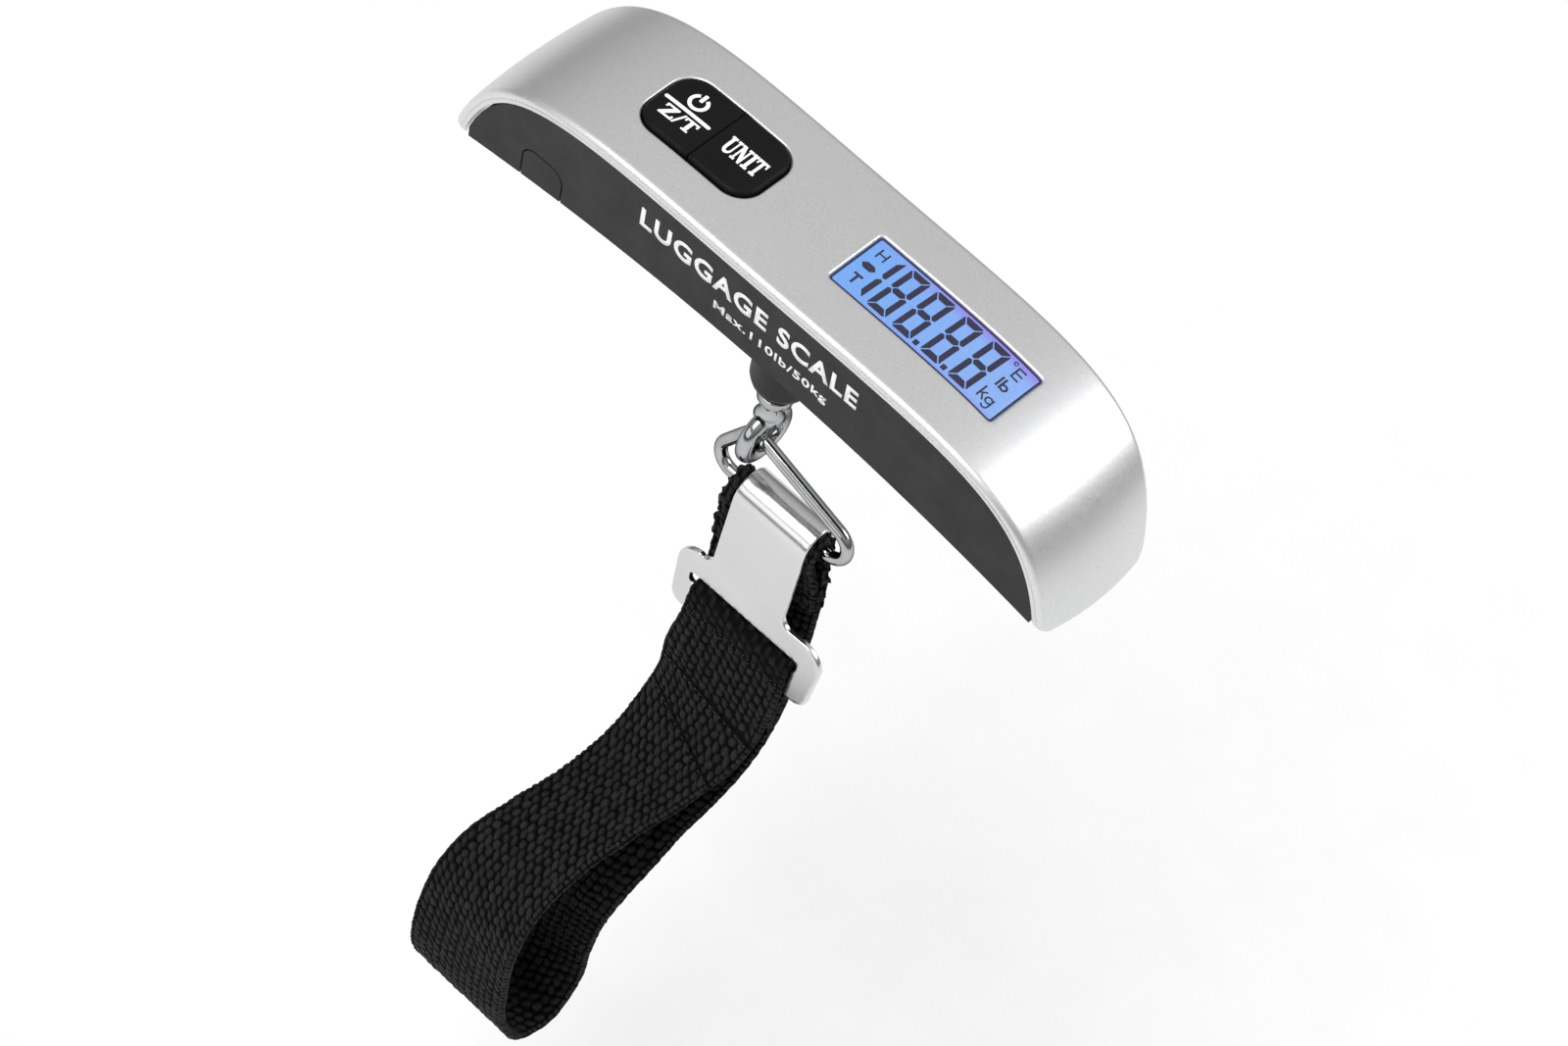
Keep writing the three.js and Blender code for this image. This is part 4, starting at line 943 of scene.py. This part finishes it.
def ring_path():
    """Centre line of the three-cornered ring: straight sides between three equal bends."""
    bend = RING["bend"]
    apex = EYE_Z - EYE_RADIUS + EYE_WIRE + GAP + RING["wire"] - bend
    low = RING["bar"] + bend
    corners = np.array([(0, apex), (RING["right"], low), (RING["left"], low)])
    away = []
    for a, b in zip(corners, np.roll(corners, -1, 0)):
        along = (b - a) / np.linalg.norm(b - a)
        away.append(math.atan2(along[0], -along[1]))
    path = []
    for i, corner in enumerate(corners):
        start, end = away[i - 1], away[i]
        while end > start:
            end -= 2 * math.pi
        for turn in np.linspace(start, end, 22):
            path.append(corner + bend * np.array([math.cos(turn), math.sin(turn)]))
        following = corners[(i + 1) % 3] + bend * np.array([math.cos(end), math.sin(end)])
        last = path[-1]
        parts = max(int(np.linalg.norm(following - last) / 0.7), 2)
        path += [last + (following - last) * k / parts for k in range(1, parts)]
    path = np.array(path)
    return np.stack([path[:, 0], 0 * path[:, 0], path[:, 1]], 1)


def triangle_ring():
    ring = tube("ring_wire", ring_path(), RING["wire"], "chrome", 24)
    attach(ring, "ring")
    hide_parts("triangle_ring")


# ---------- Hook plate ----------
def plate_outline():
    """The flat blank as (x, height), counter-clockwise from the lower left corner."""
    p = PLATE
    ear, fillet, foot, tip = 4.6, 2.2, 3.0, 1.2
    left, right = p["frame_middle"] - p["frame_half"], p["frame_middle"] + p["frame_half"]
    neck_left, neck_right = p["neck_middle"] - p["neck_half"], p["neck_middle"] + p["neck_half"]
    end = RING["bar"] + bend_length() + p["lip_length"]
    corners = [
        (left + 3.6, p["bottom"] + foot, foot, 180, 270),
        (right - 3.6, p["bottom"] + foot, foot, -90, 0),
        (right - ear, p["frame_top"] - ear, ear, -10, 90),
        (neck_right + fillet, p["neck_bottom"], fillet, 270, 180),
        (neck_right - tip, end - tip, tip, 0, 90),
        (neck_left + tip, end - tip, tip, 90, 180),
        (neck_left - fillet, p["neck_bottom"], fillet, 0, -90),
        (left + ear, p["frame_top"] - ear, ear, 90, 190),
    ]
    loop = []
    for cx, cy, radius, start, stop in corners:
        for turn in np.radians(np.linspace(start, stop, 12)):
            loop.append((cx + radius * math.cos(turn), cy + radius * math.sin(turn)))
    return dense(np.array(loop), 0.9)


def bend_length():
    """Length of the blank that is bent over the bar, down to where the straight lip starts."""
    return (math.pi - PLATE["lip_flare"]) * (PLATE["bend"] + PLATE["thickness"] / 2)


def place_on_plate(points, depth):
    """Wraps the flat blank over the bar; depth 0 is the outer face."""
    x, s = points[:, 0] + HANG_X, points[:, 1] - RING["bar"]
    middle = PLATE["bend"] + PLATE["thickness"] / 2
    radius = PLATE["bend"] + PLATE["thickness"] - depth
    turn = np.clip(s, 0, bend_length()) / middle
    below = np.minimum(s, 0)
    beyond = np.maximum(s - bend_length(), 0)
    y = -radius * np.cos(turn) + beyond * math.sin(PLATE["lip_flare"])
    z = RING["bar"] + radius * np.sin(turn) + below - beyond * math.cos(PLATE["lip_flare"])
    return np.stack([x, y, z], 1)


def hook_plate():
    edge = quarter_round(0.32, 4)
    rim = edge + [(inset, PLATE["thickness"] - depth) for inset, depth in reversed(edge)]
    half = PLATE["slot_half"]
    slot_hole = rounded_box((-half, half), (PLATE["slot_bottom"], PLATE["slot_top"]), [1.0] * 4, 6)
    look = {"spacing": 0.7, "slot": "hook_steel"}
    hook = plate("hook_body", plate_outline(), [slot_hole], place_on_plate, rim, "steel", **look)
    even_normals(hook)
    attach(hook, "hook")
    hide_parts("hook_plate")


# ---------- Webbing ----------
def over_bar(x, y, z, radius, width):
    """Stations of a half turn over a bar, from its near side to its far side."""
    turns = [math.pi * (1 - i / 6) for i in range(7)]
    return [(x, y + radius * math.cos(t), z + radius * math.sin(t), 0, width) for t in turns]


def webbing_stations():
    """Middle line of the whole webbing as (x, y, z, twist, width): the sewn end inside the ring's
    bar, over the bar, down the back, round the bottom, up the front, over the hook's lower bar
    and down behind it to the sewn hem."""
    w = WEB_WIDTH
    bar_x, bar_z = 8.3, RING["bar"]
    middle_y = -PLATE["bend"] - PLATE["thickness"] / 2
    fold = PLATE["thickness"] / 2 + GAP + WEB_THICKNESS / 2
    rear = [
        (8.3, 0.45, -58, 0, 24.2),
        (8.0, 0.2, -53, 0, 23.6),
        (7.8, -0.9, -48, 0, 22.6),
        (8.1, -WRAP, -44, 0, 21.6),
        *over_bar(bar_x, 0, bar_z, WRAP, 21.2),
        (8.1, WRAP, -45, 0, 22.0),
        (8.2, WRAP, -52, 0, 24.2),
        (8.2, WRAP, -60, 0, w),
        (8.5, WRAP, -70, 0, w),
        (8.4, 2.0, -80, 0, w),
        (8.3, 1.6, -90, 3, w),
        (7.8, 0.2, -101, 9, w),
        (6.6, -3.2, -111, 14, w),
        (5.0, -8.4, -119.5, 15, w),
        (4.0, -14.0, -126.5, 14, w),
        (2.4, -18.8, -134, 10, w),
        (0.6, -21.6, -143, 5, w),
        (-0.6, -21.9, -154, 2, w),
        (-1.0, -22.0, -165, 0, w),
        (-1.4, -26.6, -173.4, 0, w),
    ]
    front = [
        (-2.2, -33.8, -173.4, 0, w),
        (-3.0, -39.4, -165, -2, w),
        (-3.2, -41.6, -151, -6, w),
        (-2.6, -41.2, -137.5, -14, w),
        (-1.5, -37.2, -128.5, -22, w),
        (0.4, -29.9, -122.2, -28, w),
        (2.9, -21.5, -117, -30, w),
        (5.2, -13.8, -110.6, -28, w),
        (7.3, -8.8, -102, -20, w),
        (9.1, -6.7, -94, -10, w),
        (9.8, -6.15, -87.5, -2, w),
        (10.0, -6.05, -83, 0, 24.7),
        (HANG_X + 0.3, middle_y - fold - 0.2, -77, 0, 24.3),
        *over_bar(HANG_X + 0.5, middle_y, PLATE["slot_bottom"], fold, 23.8),
        (HANG_X + 0.3, middle_y + fold, -76, 0, 24.3),
        (9.9, -3.9, -82, 0, w),
        (9.8, -4.35, -87.2, 0, w),
    ]
    return np.array(rear + front, float), len(rear)


def through(stations, per_station=40):
    """Centripetal Catmull-Rom through the stations, resampled finely."""
    points = stations[:, :3]
    before = 2 * points[0] - points[1]
    after = 2 * points[-1] - points[-2]
    points = np.concatenate([[before], points, [after]])
    out = []
    for i in range(len(stations) - 1):
        p0, p1, p2, p3 = points[i : i + 4]
        pairs = (p0, p1), (p1, p2), (p2, p3)
        d0, d1, d2 = (max(np.linalg.norm(b - a) ** 0.5, 1e-4) for a, b in pairs)
        m1 = ((p1 - p0) / d0 - (p2 - p0) / (d0 + d1) + (p2 - p1) / d1) * d1
        m2 = ((p2 - p1) / d1 - (p3 - p1) / (d1 + d2) + (p3 - p2) / d2) * d1
        last = i == len(stations) - 2
        t = np.linspace(0, 1, per_station + (1 if last else 0), endpoint=last)[:, None]
        a = 2 * p1 - 2 * p2 + m1 + m2
        b = -3 * p1 + 3 * p2 - 2 * m1 - m2
        place = a * t**3 + b * t**2 + m1 * t + p1
        rest = stations[i, 3:] + (stations[i + 1, 3:] - stations[i, 3:]) * t
        out.append(np.concatenate([place, rest, i + t], 1))
    return np.concatenate(out)


def evenly(rows, step):
    """Rows resampled at equal distances along the line; the last column is that distance."""
    lengths = np.concatenate([[0], np.cumsum(np.linalg.norm(np.diff(rows[:, :3], axis=0), axis=1))])
    count = int(round(lengths[-1] / step)) + 1
    at = np.linspace(0, lengths[-1], count)
    columns = [np.interp(at, lengths, rows[:, k]) for k in range(rows.shape[1])]
    return np.stack([*columns, at], 1)


def softened(values, reach):
    """Moving average with its ends held."""
    kernel = np.hanning(2 * reach + 3)[1:-1]
    kernel /= kernel.sum()
    padded = np.concatenate([np.repeat(values[:1], reach), values, np.repeat(values[-1:], reach)])
    return np.convolve(padded, kernel, "valid")


FLOAT_WIDTH = 1.78  # one warp float across the webbing
FLOAT_LENGTH = 2.1
FLOAT_HEIGHT = 0.55
FLOATS = 13  # full floats across; the rest of the width is selvedge
SELVEDGE = (WEB_WIDTH - FLOATS * FLOAT_WIDTH) / 2
# Each fold's depth also lowers the stored weave height that the yarn's colour follows, so it darkens
# the fold: painted shade.
HEM_FOLDS = ((-89.5, 0.55, 1.0), (-100.0, 0.45, 0.85))  # height, half width and depth of each fold
STITCH_ROWS = ((-72.6, 0.45), (-73.7, 0.45), (-90.25, 0.7), (-100.6, 0.55))  # height, stitch length


def hashed(a, b, seed):
    """Repeatable noise from 0 to 1 for a pair of whole numbers."""
    value = np.sin(a * 127.1 + b * 311.7 + seed * 74.7) * 43758.5453
    return value - np.floor(value)


def weave(across, along, seed):
    """Height of the floats, from 0 in the gaps to 1 on top. across is measured from the middle."""
    place = across / FLOAT_WIDTH + FLOATS / 2
    column = np.clip(np.floor(place), -1, FLOATS)
    outer = (column < 0) | (column >= FLOATS)
    beside = (np.abs(across) - WEB_WIDTH / 2 + SELVEDGE / 2) / SELVEDGE
    u = np.where(outer, beside, place - column - 0.5)
    lean = np.where(column % 2 == 0, 0.30, -0.16)
    shifted = along / np.where(outer, 1.3, FLOAT_LENGTH) + 0.5 * (column % 2) + lean * u
    row = np.floor(shifted)
    v = shifted - row - 0.5
    u = u + 0.16 * (hashed(column, row, seed) - 0.5)
    v = v + 0.2 * (hashed(column, row, seed + 1) - 0.5)
    u = u + (0.28 + 0.5 * (hashed(column, row, seed + 3) - 0.5)) * v
    size = 1 + 0.16 * (hashed(column, row, seed + 4) - 0.5)
    reach = np.abs(2.02 * size * u) ** 2.2 + np.abs(1.98 * size * v) ** 2.4
    dome = np.sqrt(np.maximum(1 - reach, 0))
    return dome * (0.8 + 0.3 * hashed(column, row, seed + 2)) + 0.1 * outer * dome


def eased(low, high, values):
    """0 below low, 1 above high, eased between."""
    t = np.clip((values - low) / (high - low), 0, 1)
    return t * t * (3 - 2 * t)


def webbing_line():
    """The resampled middle line with its directions: a dictionary of arrays."""
    stations, rear_count = webbing_stations()
    rows = evenly(through(stations), 0.28)
    centre, station, at = rows[:, :3], rows[:, 5], rows[:, 6]
    tangent = np.gradient(centre, axis=0)
    tangent /= np.linalg.norm(tangent, axis=1)[:, None]
    side = np.array([1.0, 0, 0]) - tangent * tangent[:, :1]
    side /= np.linalg.norm(side, axis=1)[:, None]
    turn = np.radians(softened(rows[:, 3], 14))[:, None]
    side = side * np.cos(turn) + np.cross(tangent, side) * np.sin(turn)
    fold = rear_count + 13
    return {
        "centre": centre,
        "side": side,
        "normal": np.cross(tangent, side),
        "width": softened(rows[:, 4], 10),
        "at": at,
        "split": int(np.searchsorted(station, rear_count - 0.5)),
        "rising": (station > rear_count) & (station < fold),
        "bunched": eased(-62, -54, centre[:, 2]) * (station < rear_count),
        "taut": eased(-74.5, -73, centre[:, 2]) * (station > rear_count),
    }


def along_front(line, height):
    """Distance along the webbing where the front run passes a height."""
    rising = line["rising"]
    return float(np.interp(height, line["centre"][rising, 2], line["at"][rising]))


def webbing_faces(line):
    """Points on both faces, row by row, with the weave's height at each."""
    across = np.concatenate(
        [
            np.linspace(-WEB_WIDTH / 2, -WEB_WIDTH / 2 + SELVEDGE, 5)[:-1],
            np.linspace(-1, 1, FLOATS * 7 + 1) * (WEB_WIDTH / 2 - SELVEDGE),
            np.linspace(WEB_WIDTH / 2 - SELVEDGE, WEB_WIDTH / 2, 5)[1:],
        ]
    )
    at, bunched = line["at"][:, None], line["bunched"][:, None]
    edge = np.clip((WEB_WIDTH / 2 - np.abs(across)) / 0.6, 0, 1)
    rounding = np.sqrt(1 - (1 - edge) ** 2)
    # The hem folds and the taut run over the hook's lower bar flatten the weave; the lowered height
    # also darkens the yarn's colour there, as painted shade.
    crease = np.ones_like(at)
    for height, reach, depth in HEM_FOLDS:
        crease = crease * (1 - depth * np.exp(-(((at - along_front(line, height)) / reach) ** 2)))
    crease = crease * (1 - 0.4 * line["taut"][:, None])
    ruffle = np.sin(at * 2.3 + across * 0.9) * np.sin(at * 1.1 - across * 1.7 + 1.0) * 0.28 * bunched
    faces = {}
    for name, sign, seed in (("upper", 1, 3.0), ("lower", -1, 9.0)):
        height = weave(across[None], at + 100, seed) * crease
        lift = WEB_THICKNESS / 2 - 0.3 + FLOAT_HEIGHT * height * rounding
        lift = lift * (0.35 + 0.65 * rounding)
        offset = (sign * lift + ruffle)[:, :, None] * line["normal"][:, None]
        loops = hashed(np.floor(at / 0.8), 0 * at, seed) - 0.5 + 0.4 * np.sin(at * 1.9)
        wander = (0.12 + 0.6 * bunched) * loops * (1 - edge)
        reach = across * (line["width"][:, None] / WEB_WIDTH) + wander * np.sign(across)
        spot = line["centre"][:, None] + reach[:, :, None] * line["side"][:, None] + offset
        faces[name] = (spot, height)
    return faces, across


def stitches(line):
    """Rows of short thread stitches on the outer face, near the hem."""
    vertices, faces = [], []
    for height, length in STITCH_ROWS:
        here = along_front(line, height)
        row = int(np.searchsorted(line["at"], here))
        centre, side, normal = (line[k][row] for k in ("centre", "side", "normal"))
        reach = line["width"][row] / 2 - 1.2
        count = int(2 * reach / 1.35)
        forward = np.cross(side, normal)
        for i in range(count + 1):
            x = -reach + 2 * reach * i / count + 0.3 * (hashed(i, height, 5.0) - 0.5)
            lift = WEB_THICKNESS / 2 + 0.06
            middle = centre + side * x - normal * lift + forward * 0.1 * (hashed(i, height, 6.0) - 0.5)
            first = len(vertices)
            for k, swell in ((-1, 0.25), (-0.6, 0.85), (0, 1.0), (0.6, 0.85), (1, 0.25)):
                for turn in np.linspace(0, 2 * math.pi, 7)[:-1]:
                    ring = 0.17 * swell * (math.cos(turn) * forward - math.sin(turn) * normal)
                    vertices.append(middle + side * (k * length / 2) + normal * 0.12 * k * k + ring)
            for k in range(4):
                for j in range(6):
                    a, b = first + 6 * k + j, first + 6 * k + (j + 1) % 6
                    faces.append((a, b, b + 6, a + 6))
            faces.append(tuple(first + j for j in reversed(range(6))))
            faces.append(tuple(first + 24 + j for j in range(6)))
    sewn = piece("hem_stitches", np.array(vertices) * MM, faces, "thread")
    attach(sewn, "hook")


def webbing_piece(name, faces, at, flat, rows):
    """One length of the webbing, closed at both ends."""
    upper, upper_height = (part[rows] for part in faces["upper"])
    lower, lower_height = (part[rows] for part in faces["lower"])
    count, columns = upper.shape[:2]
    loop = np.concatenate([upper, lower[:, ::-1]], 1)
    heights = np.concatenate([upper_height, lower_height[:, ::-1]], 1)
    size = loop.shape[1]
    index = np.arange(count * size).reshape(count, size)
    ahead = np.roll(index, -1, 1)
    quads = np.stack([index[:-1], ahead[:-1], ahead[1:], index[1:]], -1).reshape(-1, 4)
    ends = [index[0][::-1], index[-1]]
    caps = []
    for end in ends:
        for i in range(columns - 1):
            caps.append((end[i], end[i + 1], end[size - 2 - i], end[size - 1 - i]))
    made = piece(name, loop.reshape(-1, 3) * MM, [*quads, *caps], "webbing")
    mesh = made.data
    attribute = mesh.attributes.new("weave", "FLOAT", "POINT")
    attribute.data.foreach_set("value", heights.reshape(-1).astype(np.float32))
    uv = mesh.uv_layers.new(name="flat")
    flat_x = np.concatenate([flat, flat[::-1] + 2 * WEB_WIDTH])
    spots = np.stack(np.broadcast_arrays(flat_x[None] * MM, at[rows][:, None] * MM), -1).reshape(-1, 2)
    corner = np.empty(len(mesh.loops), np.int32)
    mesh.loops.foreach_get("vertex_index", corner)
    uv.data.foreach_set("uv", spots[corner].reshape(-1).astype(np.float32))
    return made


def webbing():
    line = webbing_line()
    faces, flat = webbing_faces(line)
    at, split = line["at"], line["split"]
    rear = webbing_piece("webbing_rear", faces, at, flat, slice(0, split + 1))
    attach(rear, "strap")
    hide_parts("strap")
    front = webbing_piece("webbing_front", faces, at, flat, slice(split, len(at)))
    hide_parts("hook_loop")
    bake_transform(front)
    stitches(line)


# ---------- Inner pieces ----------
INNER = {
    "rubber": ["key_mat", "zebra_strip"],
    "chip": ["tact_switch_power", "tact_switch_unit", "controller_chip", "amplifier_chip"],
    "white": ["backlight_guide", "lcd_frame"],
    "board": ["main_board"],
    "aluminium": ["load_cell_beam"],
    "bright": ["cell_bracket", "eye_nut", "eye_washer", "coin_cell", "cell_screw_1", "cell_screw_2"],
    "foil": ["strain_gauge_1", "strain_gauge_2"],
    "brass": ["neck_bush", "contact_positive", "contact_negative"],
    "red": ["lead_positive", "gauge_lead"],
    "black": ["lead_negative"],
}
HOUSING_SCREWS = 4


def inner_pieces():
    """The CAD's own solids inside the grip keep their shape and get a material."""
    screws = [f"housing_screw_{i + 1}" for i in range(HOUSING_SCREWS)]
    for made, names in [*INNER.items(), ("bright", screws)]:
        for name in names:
            painted(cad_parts[name].data, made)


# ---------- Studio ----------
def area_light(name, place, target, size, power):
    data = bpy.data.lights.new(name, "AREA")
    data.shape = "RECTANGLE"
    data.size, data.size_y = size
    data.energy = power
    data.spread = math.pi
    lamp = linked(name, data)
    lamp.location = place
    away = Vector(target) - Vector(place)
    lamp.rotation_euler = away.to_track_quat("-Z", "Y").to_euler()


def floor():
    """A plain level sheet, a little below the loop."""
    below, rows, reach = 0.06, 9, 3.0
    spots = np.linspace(-reach, reach, rows)
    vertices = [(x, y, cad_box[0].z - below) for y in spots for x in spots]
    corners = [j * rows + i for j in range(rows - 1) for i in range(rows - 1)]
    faces = [(k, k + 1, k + rows + 1, k + rows) for k in corners]
    piece("floor", vertices, faces, "floor")


def studio():
    floor()
    area_light("key_softbox", (0.77, 0.76, 0.89), (0.05, 0, 0.0), (0.7, 0.75), 7.0)
    area_light("overhead", (-0.25, -0.95, 1.6), (0, 0, -0.1), (1.2, 1.2), 19.5)
    area_light("front_softbox", (-0.35, -1.25, 0.42), (0.0, 0.0, -0.02), (1.7, 0.5), 3.2)
    world = bpy.data.worlds.new("studio")
    world.use_nodes = True
    direction = node(world, "ShaderNodeTexCoord").outputs["Generated"]
    upward = node(world, "ShaderNodeSeparateXYZ", Vector=direction).outputs["Z"]
    height = between(world, upward, -1.0, 1.0)
    greys = (0.0, 0.9), (0.46, 0.5), (0.5, 0.16), (0.6, 0.27), (0.8, 0.56), (1.0, 0.74)
    tone = ramp(world, height, *greys)
    # Seen straight, past the floor's edge, the studio is as pale as the floor there.
    straight = node(world, "ShaderNodeLightPath").outputs["Is Camera Ray"]
    seen = mixed(world, "MIX", straight, tone, (0.62, 0.62, 0.62, 1.0))
    background = world.node_tree.nodes["Background"]
    world.node_tree.links.new(seen, background.inputs["Color"])
    background.inputs["Strength"].default_value = 1.0
    scene = bpy.context.scene
    scene.world = world
    scene.view_settings.view_transform = "Standard"


make_camera()
make_materials()
top_cover()
lower_housing()
key_caps()
key_marks()
display()
side_print()
eye_bolt()
triangle_ring()
hook_plate()
webbing()
inner_pieces()
studio()
